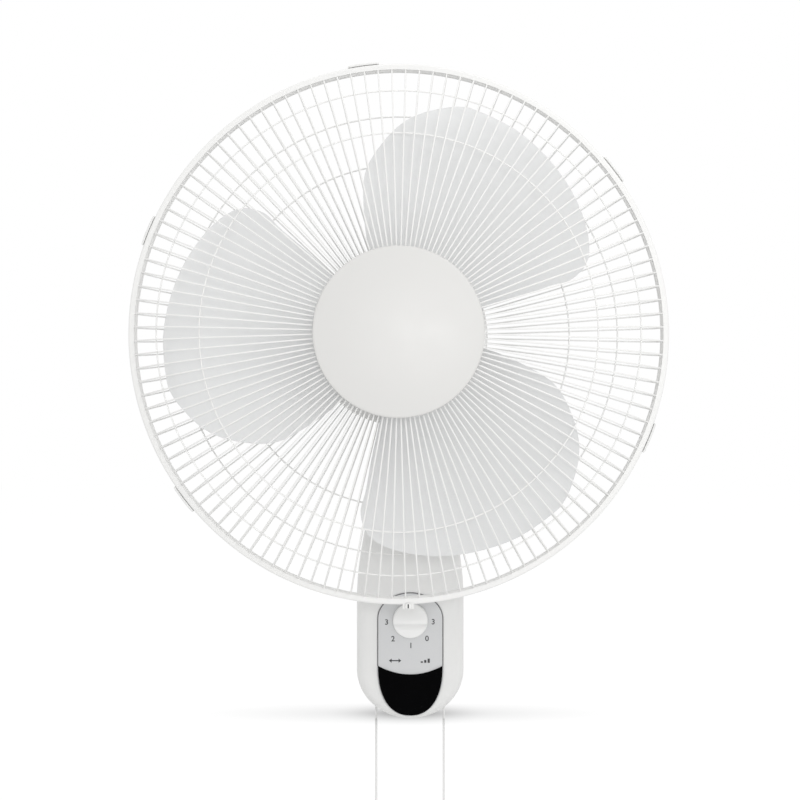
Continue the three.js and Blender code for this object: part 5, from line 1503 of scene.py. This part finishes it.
# ---------------------------------------------------------------- guards
@dataclass
class Guards(Assembly):
    """Both wire guards with the hoop, its clips and the round cap."""

    sizes: HeadSizes = HeadSizes()

    def front_path(self) -> list[Pair]:
        """Where a front spoke runs, [radius, y], from the rim inwards.

        Returns:
            The path's points.
        """
        s = self.sizes
        rim = s.rim_y - s.rim_gap
        return [(s.rim_radius, rim), (s.rim_radius - 8, rim - 14), (s.rim_radius - 46, s.front_plate_y + 13),
                (s.front_plate[1] - s.plate_hold, s.front_plate_y)]

    def rear_path(self) -> list[Pair]:
        """Where a rear spoke runs, [radius, y], from the rim inwards.

        Returns:
            The path's points.
        """
        s = self.sizes
        rim = s.rim_y + s.rim_gap
        return [(s.rim_radius, rim), (s.rim_radius - 16, rim + 20),
                (s.rear_plate[1] - s.plate_hold, s.rear_plate_y)]

    def build(self) -> None:
        """Makes the guards, the hoop, the clips and the cap."""
        s = self.sizes
        front, rear = smooth_path(self.front_path(), 27), smooth_path(self.rear_path(), 18)
        self.cage("front_guard", front, s.rim_y - s.rim_gap, s.front_plate, s.front_plate_y)
        self.cage("rear_guard", rear, s.rim_y + s.rim_gap, s.rear_plate, s.rear_plate_y)
        for side, path, rings, way in (("front", front, s.front_rings, 1), ("rear", rear, s.rear_rings, -1)):
            for name, radius in zip(("inner", "outer"), rings):
                self.ring(f"{side}_guard_ring_{name}", path, radius, way)
        self.hoop()
        for i, angle in enumerate(s.clip_angles):
            self.clip(i + 1, angle)
        self.lock_screw()
        self.cap()

    def spokes(self, path: Sequence[Pair]) -> list[MeshData]:
        """All spokes along one path.

        Args:
            path: where a spoke runs.

        Returns:
            The vertices and faces of each.
        """
        s = self.sizes
        angles = [(i + 0.5) * 360 / s.spokes for i in range(s.spokes)]
        return [tube([polar(s, r, y, degrees) for r, y in path], s.wire, 10) for degrees in angles]

    def cage(self, node: str, path: Sequence[Pair], rim_y: float, plate: Pair, plate_y: float) -> None:
        """One guard: spokes, rim wire and middle plate.

        Args:
            node: the CAD node that it stands for.
            path: where a spoke runs.
            rim_y: y of the rim wire.
            plate: inner and outer radius of the middle plate.
            plate_y: y of the middle plate.
        """
        s = self.sizes
        rim = turned(s, arc(s.rim_radius, rim_y, s.rim_wire, 0, 345, 23), s.rim_sides)
        inner, half = plate[0], s.plate_half
        edge, front, back = plate[1] - half, plate_y - half, plate_y + half
        disc = turned(s, [(inner, front), (edge, front), *arc(edge, plate_y, half, -80, 80, 8), (edge, back),
                          (inner, back)], s.round_sides)
        guard = joined([rim, disc, *self.spokes(path)])
        self.bench.piece(f"{node}_fine", guard, Tone.ENAMEL, "head", [node], "enamel")

    def ring(self, node: str, path: Sequence[Pair], radius: float, way: int) -> None:
        """A ring of wire that lies against the inside of a guard's spokes.

        Args:
            node: the CAD node that it stands for.
            path: where a spoke runs.
            radius: the ring's distance from the axis.
            way: 1 where the cage lies behind the spokes, -1 where it lies in front.
        """
        s = self.sizes
        i = next(k for k, (r, _) in enumerate(path) if r < radius)
        (r0, y0), (r1, y1) = path[i - 1], path[i]
        y = y0 + (y1 - y0) * (r0 - radius) / (r0 - r1)
        along = Vector((r1 - r0, y1 - y0)).normalized()
        across = Vector((-along.y, along.x))
        if across.y * way < 0:
            across = -across
        spot = Vector((radius, y)) + across * (2 * s.wire + 0.04)
        wire = turned(s, arc(spot.x, spot.y, s.wire, 0, 330, 11), s.ring_sides)
        self.bench.piece(f"{node}_fine", wire, Tone.ENAMEL, "head", [node], "enamel")

    def hoop(self) -> None:
        """The trim hoop with rounded lips and the lug of its lock screw."""
        s = self.sizes
        front, rear, out = s.hoop_front, s.hoop_rear, s.guard_radius
        lip, inside, edge = out - s.hoop_lip, out - s.hoop_wall, 1.8
        profile = [
            *arc(out - edge, front + edge, edge, -90, 0, 6),
            *arc(out - edge, rear - edge, edge, 0, 90, 6),
            (lip, rear), (lip, rear - 0.5), (inside, rear - s.hoop_wall),
            (inside, front + s.hoop_wall), (lip, front + 0.5), (lip, front),
        ]
        channel = Carver.raw(turned(s, profile, s.rim_sides))
        lug = self.block_at(s.lock_angle, (inside - 1.4, out + 3.4), 4.4, (front + 0.3, rear - 0.3))
        at = polar(s, out + s.lock_rise, 0.0, s.lock_angle)
        Carver.work(channel, "UNION", lug)
        Carver.work(channel, "DIFFERENCE", rod(s.lock_bore, front - 3, rear + 3, "Y", at, 32))
        self.bench.piece("guard_hoop_fine", channel, Tone.ENAMEL, "head", ["guard_hoop"], "enamel")

    def block_at(self, degrees: float, radii: Pair, half: float, depths: Pair) -> MeshData:
        """A block on the rim, in line with its tangent.

        Args:
            degrees: where it sits on the rim.
            radii: its inner and outer radius.
            half: half its width.
            depths: y of its front and its back.

        Returns:
            Vertices and faces.
        """
        low, high = radii
        corners = ((low, -half), (high, -half), (high, half), (low, half))
        return stacked([[beside(self.sizes, degrees, r, aside, y) for r, aside in corners] for y in depths])

    def clip(self, number: int, degrees: float) -> None:
        """A clip: a curved strap over the hoop with a hooked back and a finger edge.

        Args:
            number: the clip's number.
            degrees: where it sits on the rim.
        """
        s = self.sizes
        front, rear, rim = s.hoop_front, s.hoop_rear, s.guard_radius
        under = rim + 0.2
        over = under + s.clip_plate
        section = [(under, front + 0.6), (under + 0.5, front + 0.1), (over - 0.3, front + 0.3),
                   (over, front + 1.2), (over - 0.2, s.rim_y), (over, rear), (over - 0.5, rear + 1.9),
                   (over - 1.4, rear + 2.1), (rim - 3.0, rear + 2.1), (rim - 3.2, rear + 0.9),
                   (rim - 2.9, rear + 0.3), (under, rear + 0.3)]
        half, steps = math.degrees(s.clip_length / 2 / rim), 16
        rings = []
        for i in range(steps + 1):
            part = -1 + 2 * i / steps
            taper, narrow = 1 - 0.22 * abs(part) ** 6, 1 - 0.06 * abs(part) ** 6
            ring = []
            for r, y in section:
                lifted = under + (r - under) * taper if r > under else r
                ring.append(polar(s, lifted, s.rim_y + (y - s.rim_y) * narrow, degrees + half * part))
            rings.append(ring)
        self.bench.piece(f"clip_{number}_fine", stacked(rings), Tone.HOUSING, f"clip_{number}",
                         [f"guard_clip_{number}"], "housing", edge=0.25)

    def lock_screw(self) -> None:
        """The small painted screw that draws the hoop together, with its slot and the slot's painted shade."""
        s = self.sizes
        seat, tip = s.hoop_front - 0.3, s.hoop_rear + 5.0
        at = polar(s, s.guard_radius + s.lock_rise, 0.0, s.lock_angle)
        head = [(0.0, seat - 2.0), (1.6, seat - 1.9), (2.4, seat - 1.4), (2.7, seat - 0.6), (2.7, seat),
                (1.35, seat), (1.35, tip), (0.0, tip)]
        screw = Carver.raw(lathe(head, 40, "Y", at))
        slot = box((at[0] - 0.55, seat - 3.0, at[2] - 1.7), (at[0] + 0.55, seat - 0.5, at[2] + 1.7))
        Carver.work(screw, "DIFFERENCE", slot)
        self.bench.piece("lock_screw_fine", screw, Tone.ENAMEL, "head", ["hoop_lock_screw"], "steel")
        # A thin black block at the slot's floor: painted shade that stands for the shadow deep in the slot.
        slot_shade_block = box((at[0] - 0.5, seat - 0.9, at[2] - 1.65), (at[0] + 0.5, seat - 0.55, at[2] + 1.65))
        self.bench.piece("lock_screw_slot_shade", slot_shade_block, Tone.BLACK, "head")

    def cap(self) -> None:
        """The round cap over the front plate: a flat crown inside a soft rolled rim."""
        s = self.sizes
        back = s.front_plate_y - s.plate_half - 1.05 - 0.3
        r, face, crown_rise = s.badge_radius, back - 2.0, 3.3
        shares = (0.97, 0.93, 0.86, 0.76, 0.64, 0.5, 0.34, 0.16)
        crown = [(r * share, face - crown_rise * (1 - share**2.2)) for share in shares]
        rim = [(r - 0.6, back), (r - 0.05, back - 0.5), (r, back - 1.1), (r - 0.25, back - 1.7),
               (r - 0.9, back - 2.1)]
        disc = Carver.raw(turned(s, [(0.0, back), *rim, *crown, (0.0, face - crown_rise)], 160))
        self.bench.piece("badge_cap_fine", disc, Tone.BADGE, "head", ["badge_cap"], "housing")

    def dress(self) -> None:
        """Dresses the two nuts."""
        self.bench.dress("guard_nut", Tone.COVER, edge=0.5)
        self.bench.dress("hoop_lock_nut", Tone.STEEL, edge=0.2)


# ---------------------------------------------------------------- blade
@dataclass
class Blade(Assembly):
    """The one-piece blade with its nut and its drive pin."""

    sizes: BladeSizes = BladeSizes()
    head: HeadSizes = HeadSizes()

    def leaf(self, start: float) -> MeshData:
        """One leaf: a twisted, cambered sheet.

        Args:
            start: the angle of its root's leading edge.

        Returns:
            Vertices and faces.
        """
        s = self.sizes
        rows, columns = 43, 28
        along = [row.along for row in LEAF_ROWS] + [1.0]
        lead = [row.lead for row in LEAF_ROWS] + [55.0]
        trail = [row.trail for row in LEAF_ROWS] + [43.0]
        depths = [row.depth for row in LEAF_ROWS] + [0.1]
        root = s.hub_radius - s.hub_wall / 2
        sheets: list[list[Triple]] = []
        for side in (1.0, -1.0):
            sheet = []
            for i in range(rows):
                at = (len(LEAF_ROWS) - 1) * i / (rows - 1)
                radius = root + (s.radius - root) * min(spline(along, at), 1.0)
                first, last, depth = spline(lead, at), spline(trail, at), spline(depths, at)
                for k in range(columns + 1):
                    part = k / columns
                    camber = s.camber * 4 * part * (1 - part) * depth
                    thin = s.thickness / 2 * (0.3 + 2.6 * part * (1 - part))
                    y = s.middle_y + s.depth * depth * (0.5 - part) + camber + side * thin
                    sheet.append(polar(self.head, radius, y, start + first + (last - first) * part))
            sheets.append(sheet)
        across, total = columns + 1, rows * (columns + 1)
        faces = []
        for i in range(rows - 1):
            for k in range(columns):
                a = i * across + k
                faces.append([a, a + 1, a + across + 1, a + across])
                faces.append([total + a, total + a + across, total + a + across + 1, total + a + 1])
            for k in (0, columns):
                a = i * across + k
                faces.append([a, a + across, total + a + across, total + a])
        for i in (0, rows - 1):
            for k in range(columns):
                a = i * across + k
                faces.append([a, total + a, total + a + 1, a + 1])
        return [*sheets[0], *sheets[1]], faces

    def build(self) -> None:
        """Makes the blade."""
        s = self.sizes
        wall = s.hub_radius - s.hub_wall
        round_edge = arc(s.hub_radius - 4, s.hub_front + 4, 4, -90, 0, 8)
        hub = turned(self.head, [(s.bore, s.hub_front), *round_edge, (s.hub_radius, s.hub_back),
                                 (wall, s.hub_back), (wall, s.hub_front + 4.6), (s.boss, s.hub_front + 2.6),
                                 (s.boss, s.hub_back - 3), (s.bore, s.hub_back - 3)], 96)
        leaves = [self.leaf(s.phase + 360 / s.count * i) for i in range(s.count)]
        blade = joined([hub, *leaves])
        self.bench.piece("fan_blade_fine", blade, Tone.BLADE, "rotor", ["fan_blade"], "blade")

    def dress(self) -> None:
        """Dresses the nut and the drive pin."""
        self.bench.dress("spinner_nut", Tone.BLADE, edge=0.4)
        self.bench.dress("drive_pin", Tone.STEEL)


# ---------------------------------------------------------------- motor covers
@dataclass
class Covers(Assembly):
    """The two moulded covers of the motor."""

    head: HeadSizes = HeadSizes()

    def tail_curve(self, drawn_in: float) -> list[Pair]:
        """The rear cover's outside, [radius, y], from its joint to its tail, drawn in by a wall.

        Args:
            drawn_in: the wall's thickness, or 0 for the outside.

        Returns:
            The curve's points.
        """
        h = self.head
        r, end = h.cover_radius - drawn_in, h.cover_tail - drawn_in
        knots = [(r, h.cover_straight_end), (r - 2.6, h.cover_straight_end + 14), (r - 6.0, end - 22),
                 (r - 9.4, end - 12), (r - 14.4, end - 5.2), (r - 21.0, end - 1.4), (r - 30.0, end)]
        return [(r, h.cover_split + 0.15), *smooth_path(knots, 36), (0.0, end)]

    def build(self) -> None:
        """Makes both covers."""
        h = self.head
        outer, inner = self.tail_curve(0.0), self.tail_curve(h.cover_wall)
        rear = Carver.raw(turned(h, [*outer, *reversed(inner)], h.round_sides))
        throat = rod(h.throat_radius, *h.throat_span, "Z", (0.0, h.throat_y, 0.0), 72)
        screw = rod(2.4, h.cover_tail - 5, h.cover_tail + 1, "Y", (h.x, 0.0, h.z + 12))
        Carver.work(rear, "DIFFERENCE", throat, screw, *self.slots())
        self.bench.piece("motor_rear_cover_fine", rear, Tone.COVER, "head", ["motor_rear_cover"], "housing",
                         edge=0.3)
        self.front()

    def slots(self) -> list[MeshData]:
        """Air slots with round ends, over the motor.

        Returns:
            The cutting bodies' vertices and faces.
        """
        h = self.head
        ends = ((h.cover_split + 16, 180, 360), (h.cover_straight_end - 10, 0, 180))
        plan = [point for y, start, stop in ends for point in arc(0.0, y, 2.0, start, stop, 10)]
        radii = (h.cover_radius - 12, h.cover_radius + 1)
        angles = [20 + 140 / (h.slots - 1) * i for i in range(h.slots)]
        return [stacked([[beside(h, degrees, r, aside, y) for aside, y in plan] for r in radii])
                for degrees in angles]

    def front(self) -> None:
        """The front cover: a dish with a rounded shoulder and the collar that carries the rear guard."""
        h = self.head
        wall, face, boss = h.cover_wall, h.cover_front, h.cover_front + 7.2
        r, collar, end, split = h.cover_radius, h.collar_radius, h.collar_end, h.cover_split - 0.15
        bore, boss_radius, edge = 8.0, 13.0, 8
        shoulder = arc(r - edge, face + edge, edge, 0, -90, 12)
        lining = arc(r - edge, face + edge, edge - wall, -90, 0, 12)
        spout = [(collar, face), (collar, end + 0.8), (collar - 0.8, end), (collar - 3, end), (collar - 3, face)]
        profile = [(bore, boss), (boss_radius, boss), (boss_radius, face + wall), *lining, (r - wall, split),
                   (r, split), *shoulder, *spout, (bore, face)]
        dish = Carver.raw(turned(h, profile, h.round_sides))
        self.bench.piece("motor_front_cover_fine", dish, Tone.COVER, "head", ["motor_front_cover"], "housing",
                         edge=0.2)


# ---------------------------------------------------------------- tilting neck
@dataclass(frozen=True)
class NeckSizes:
    """Sizes of the neck between the wall unit and the head."""

    hood_half_width: float = 23.0
    hood_half_depth: float = 18.0
    hood_band: float = 9.5
    hood_top: float = 180.0
    spread: float = 46.0
    gap: float = 0.9
    swing_y: float = -80.0
    cup_radius: float = 13.5
    cup_top: float = 192.0
    cup_floor: float = 172.0
    cup_bore: float = 7.8
    pin_x: float = -16.0
    pin_lug: float = 3.9
    pin_radius: float = 1.3
    pin_top: float = 196.2
    tongue: float = 7.0
    tongue_radius: float = 11.0
    stem: float = 8.5


@dataclass
class Neck(Assembly):
    """The neck: a hood that rolls over the wall unit's shoulder, with the head's cup above it."""

    sizes: NeckSizes = NeckSizes()
    body: BodySizes = BodySizes()

    def hood(self) -> MeshData:
        """The hood's block: a soft-cornered plan that draws in at its top edge.

        Returns:
            Vertices and faces.
        """
        s = self.sizes
        middle, round_top, fullness = s.swing_y + 2, 5, 0.7
        shoulder = s.hood_top - round_top
        lift = [(self.body.tilt_z, 0.0), (shoulder, 0.0)]
        for degrees in range(10, 91, 10):
            turn = math.radians(degrees)
            lift.append((shoulder + round_top * math.sin(turn), round_top - round_top * math.cos(turn)))
        rings = []
        for z, drawn_in in lift:
            wide, deep = s.hood_half_width - drawn_in, s.hood_half_depth + 4 - drawn_in
            rings.append([(math.copysign(abs(u) ** fullness, u) * wide,
                           middle + math.copysign(abs(v) ** fullness, v) * deep, z)
                          for u, v in arc(0, 0, 1, 0, 355, 71)])
        return stacked(rings)

    def build(self) -> None:
        """Makes the neck."""
        s, b = self.sizes, self.body
        round_under = b.dome + s.gap
        front, back = s.swing_y - s.hood_half_depth, s.swing_y + s.hood_half_depth
        low, foot = s.hood_top - s.hood_band, s.hood_top - 4
        bolt, swing, lug_at = (0, b.tilt_y, b.tilt_z), (0, s.swing_y, 0), (s.pin_x, s.swing_y, 0)
        under = arc(b.tilt_y, b.tilt_z, round_under, 90 + s.spread, 90 - s.spread, 48)
        side = [(front, s.hood_top), (front, low), *under, (back, low), (back, s.hood_top)]
        neck = Carver.raw(self.hood())
        Carver.work(neck, "INTERSECT", slab(side, -s.hood_half_width - 1, s.hood_half_width + 1))
        stem = box((-s.tongue, b.tilt_y - s.stem, b.tilt_z),
                   (s.tongue, b.tilt_y + s.stem, b.tilt_z + round_under + 0.6))
        eye = rod(s.tongue_radius, -s.tongue, s.tongue, "X", bolt, 64)
        cup = lathe([(0.0, foot), (s.cup_radius, foot), (s.cup_radius, s.cup_top - 1),
                     (s.cup_radius - 1, s.cup_top), (0.0, s.cup_top)], 72, "Z", swing)
        lug = rod(s.pin_lug, foot, s.cup_top, "Z", lug_at)
        pin = rod(s.pin_radius, s.cup_top - 1, s.pin_top, "Z", lug_at)
        Carver.work(neck, "UNION", stem, eye, cup, lug, pin)
        Carver.work(neck, "DIFFERENCE", rod(s.cup_bore, s.cup_floor, s.cup_top + 1, "Z", swing, 64),
                    rod(b.bolt_bore, -s.hood_half_width, s.hood_half_width, "X", bolt))
        self.bench.piece("tilt_neck_fine", neck, Tone.COVER, "neck", ["tilt_neck"], "housing", edge=0.4)


# ---------------------------------------------------------------- motor and things inside
class Works(Assembly):
    """The motor, the linkage and everything inside, which keep their CAD form."""

    TONES: dict[Tone, tuple[str, ...]] = {
        Tone.GREY: ("speed_switch", "swing_switch", "terminal_block", "swing_bushing"),
        Tone.BLACK: ("cable_gland", "run_capacitor"),
        Tone.STEEL: ("housing_screw_1", "housing_screw_2", "housing_screw_3", "tilt_bolt", "tilt_nut",
                     "motor_shaft", "swing_link", "cover_screw"),
        Tone.CAST: ("motor_mount", "motor_front_shield", "motor_rear_shield", "swing_motor"),
        Tone.BRASS: ("front_bearing", "rear_bearing"),
        Tone.COPPER: ("front_winding", "rear_winding"),
        Tone.LAMINATIONS: ("stator_core", "rotor_core"),
        Tone.KNOB: ("swing_crank",),
    }

    def build(self) -> None:
        """Has no fine pieces of its own."""

    def dress(self) -> None:
        """Dresses all its nodes."""
        for tone, names in self.TONES.items():
            for name in names:
                self.bench.dress(name, tone)


# ---------------------------------------------------------------- studio
@dataclass(frozen=True)
class Lamp:
    """A soft rectangular light."""

    name: str
    place: Triple
    aim: Triple
    width: float
    height: float
    power: float


@dataclass(frozen=True)
class Card:
    """A flat card of the studio: half its width and depth, its middle's y, and its height."""

    name: str
    wide: float
    deep: float
    middle: float
    z: float
    shades: bool = True


@dataclass(frozen=True)
class Pool:
    """A round darkening: how far it reaches along the axes and how deep it is."""

    reach: Triple
    depth: float


def grey(level: float) -> tuple[float, float, float, float]:
    """An opaque grey."""
    return (level, level, level, 1.0)


@dataclass
class Studio:
    """The camera, the floor, the lights and the surroundings, in metres."""

    eye: Triple = (-0.009, -1.605, 0.187)
    lens: float = 78.0
    sensor: float = 36.0
    lamps: tuple[Lamp, ...] = (
        Lamp("key", (0.9, -1.9, 1.3), (0.0, -0.2, 0.2), 1.2, 1.2, 9.0),
        Lamp("front", (0.12, -1.9, 0.3), (0.0, -0.1, 0.05), 0.35, 0.15, 3.6),
        Lamp("top", (0.1, -0.2, 2.0), (0.0, -0.1, 0.0), 1.8, 1.2, 4.0),
    )
    daylight: float = 0.8
    backdrop: float = 1.0
    ground: Card = Card("studio_floor", 6.0, 6.0, 0.0, -0.2)
    ground_white: float = 0.85
    ground_seen: float = 0.3
    ground_glow: float = 0.76
    shade: Card = Card("soft_shadow", 0.27, 0.085, -0.02, -0.0993, False)
    shade_level: float = 0.02
    pools: tuple[Pool, ...] = (Pool((0.26, 0.08, 1.0), 0.3), Pool((0.08, 0.07, 1.0), 0.55))

    def camera(self) -> None:
        """Puts the camera where the photograph was taken from."""
        data = bpy.data.cameras.new("photo_camera")
        data.lens, data.sensor_width = self.lens, self.sensor
        thing = placed("photo_camera", data)
        thing.location = self.eye
        thing.rotation_euler = (math.pi / 2, 0.0, 0.0)
        bpy.context.scene.camera = thing

    def lights(self) -> None:
        """Adds the lamps."""
        for lamp in self.lamps:
            data = bpy.data.lights.new(lamp.name, "AREA")
            data.shape, data.size, data.size_y, data.energy = "RECTANGLE", lamp.width, lamp.height, lamp.power
            thing = placed(f"lamp_{lamp.name}", data)
            thing.location = lamp.place
            way = Vector(lamp.aim) - Vector(lamp.place)
            thing.rotation_euler = way.to_track_quat("-Z", "Y").to_euler()

    def world(self) -> None:
        """White to the camera and a softer white as light."""
        world = bpy.data.worlds.new("studio")
        bpy.context.scene.world = world
        board = NodeBoard(world)
        soft = board.node("Background", Color=grey(1.0), Strength=self.daylight)
        white = board.node("Background", Color=grey(1.0), Strength=self.backdrop)
        board.mix("OutputWorld", self.seen(board), soft, white)

    @staticmethod
    def seen(board: NodeBoard) -> Socket:
        """One for rays from the camera, from glossy surfaces and through clear ones, else zero.

        Args:
            board: the board to work on.

        Returns:
            The value's socket.
        """
        rays = board.node("LightPath").outputs
        share = rays["Is Camera Ray"]
        for name in ("Is Glossy Ray", "Is Transmission Ray"):
            share = board.maths("MAXIMUM", share, rays[name])
        return share

    @staticmethod
    def lay(card: Card, paint: bpy.types.Material) -> None:
        """Lays a painted card level in the studio.

        Args:
            card: the card.
            paint: its material.
        """
        low, high = card.middle - card.deep, card.middle + card.deep
        corners = [(-card.wide, low), (card.wide, low), (card.wide, high), (-card.wide, high)]
        mesh = bpy.data.meshes.new(card.name)
        mesh.from_pydata([(x, y, card.z) for x, y in corners], [], [[0, 1, 2, 3]])
        mesh.materials.append(paint)
        thing = placed(card.name, mesh)
        thing.visible_shadow = card.shades

    def ground_paint(self) -> bpy.types.Material:
        """Matt white that the camera sees as bright as the surroundings, save where a shadow falls.

        Returns:
            The material.
        """
        paint = bpy.data.materials.new("studio_white")
        board = NodeBoard(paint)
        matt = board.node("BsdfDiffuse", Color=grey(self.ground_white))
        pale = board.node("BsdfDiffuse", Color=grey(self.ground_seen))
        glow = board.node("Emission", Color=grey(1.0), Strength=self.ground_glow)
        both = board.node("AddShader", pale.outputs[0], glow.outputs[0])
        board.mix("OutputMaterial", self.seen(board), matt, both)
        return paint

    def shade_paint(self) -> bpy.types.Material:
        """Clear, darkening softly towards its middle: a wide faint pool and a narrow deep one.

        Returns:
            The material.
        """
        paint = bpy.data.materials.new("studio_shadow")
        board = NodeBoard(paint)
        spot = board.node("TexCoord").outputs["Object"]
        darkest = (0.0, self.shade.middle, self.shade.z)
        shares = []
        for pool in self.pools:
            away = board.node("Mapping", spot, Location=darkest, Scale=pool.reach)
            away.vector_type = "TEXTURE"
            ball = board.node("TexGradient", away.outputs[0])
            ball.gradient_type = "QUADRATIC_SPHERE"
            shares.append(board.maths("MULTIPLY", ball.outputs["Fac"], pool.depth))
        clear = board.node("BsdfTransparent")
        dark = board.node("Emission", Color=grey(self.shade_level), Strength=1.0)
        board.mix("OutputMaterial", board.maths("ADD", *shares), clear, dark)
        return paint

    def build(self) -> None:
        """Sets the lights, the surroundings, the floor and the soft shadow under the wall unit."""
        self.lights()
        self.world()
        self.lay(self.ground, self.ground_paint())
        self.lay(self.shade, self.shade_paint())
        bpy.context.scene.view_settings.view_transform = "Standard"


def main() -> None:
    """Builds the fan's looks in order."""
    logging.basicConfig(level=logging.INFO, format="%(name)s %(message)s")
    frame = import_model()
    bench = Bench(frame["nodes"])
    studio = Studio()
    studio.camera()
    cords = PullCords(bench)
    cords.build()
    panel = ControlPanel(bench)
    assemblies = [Housings(bench, BodyForm(), panel.sizes), panel, Neck(bench), Covers(bench), Guards(bench),
                  Blade(bench), Works(bench)]
    for assembly in assemblies:
        assembly.build()
        assembly.dress()
    studio.build()
    LOG.info("%d fine pieces made", bench.count)


if __name__ == "__main__":
    main()
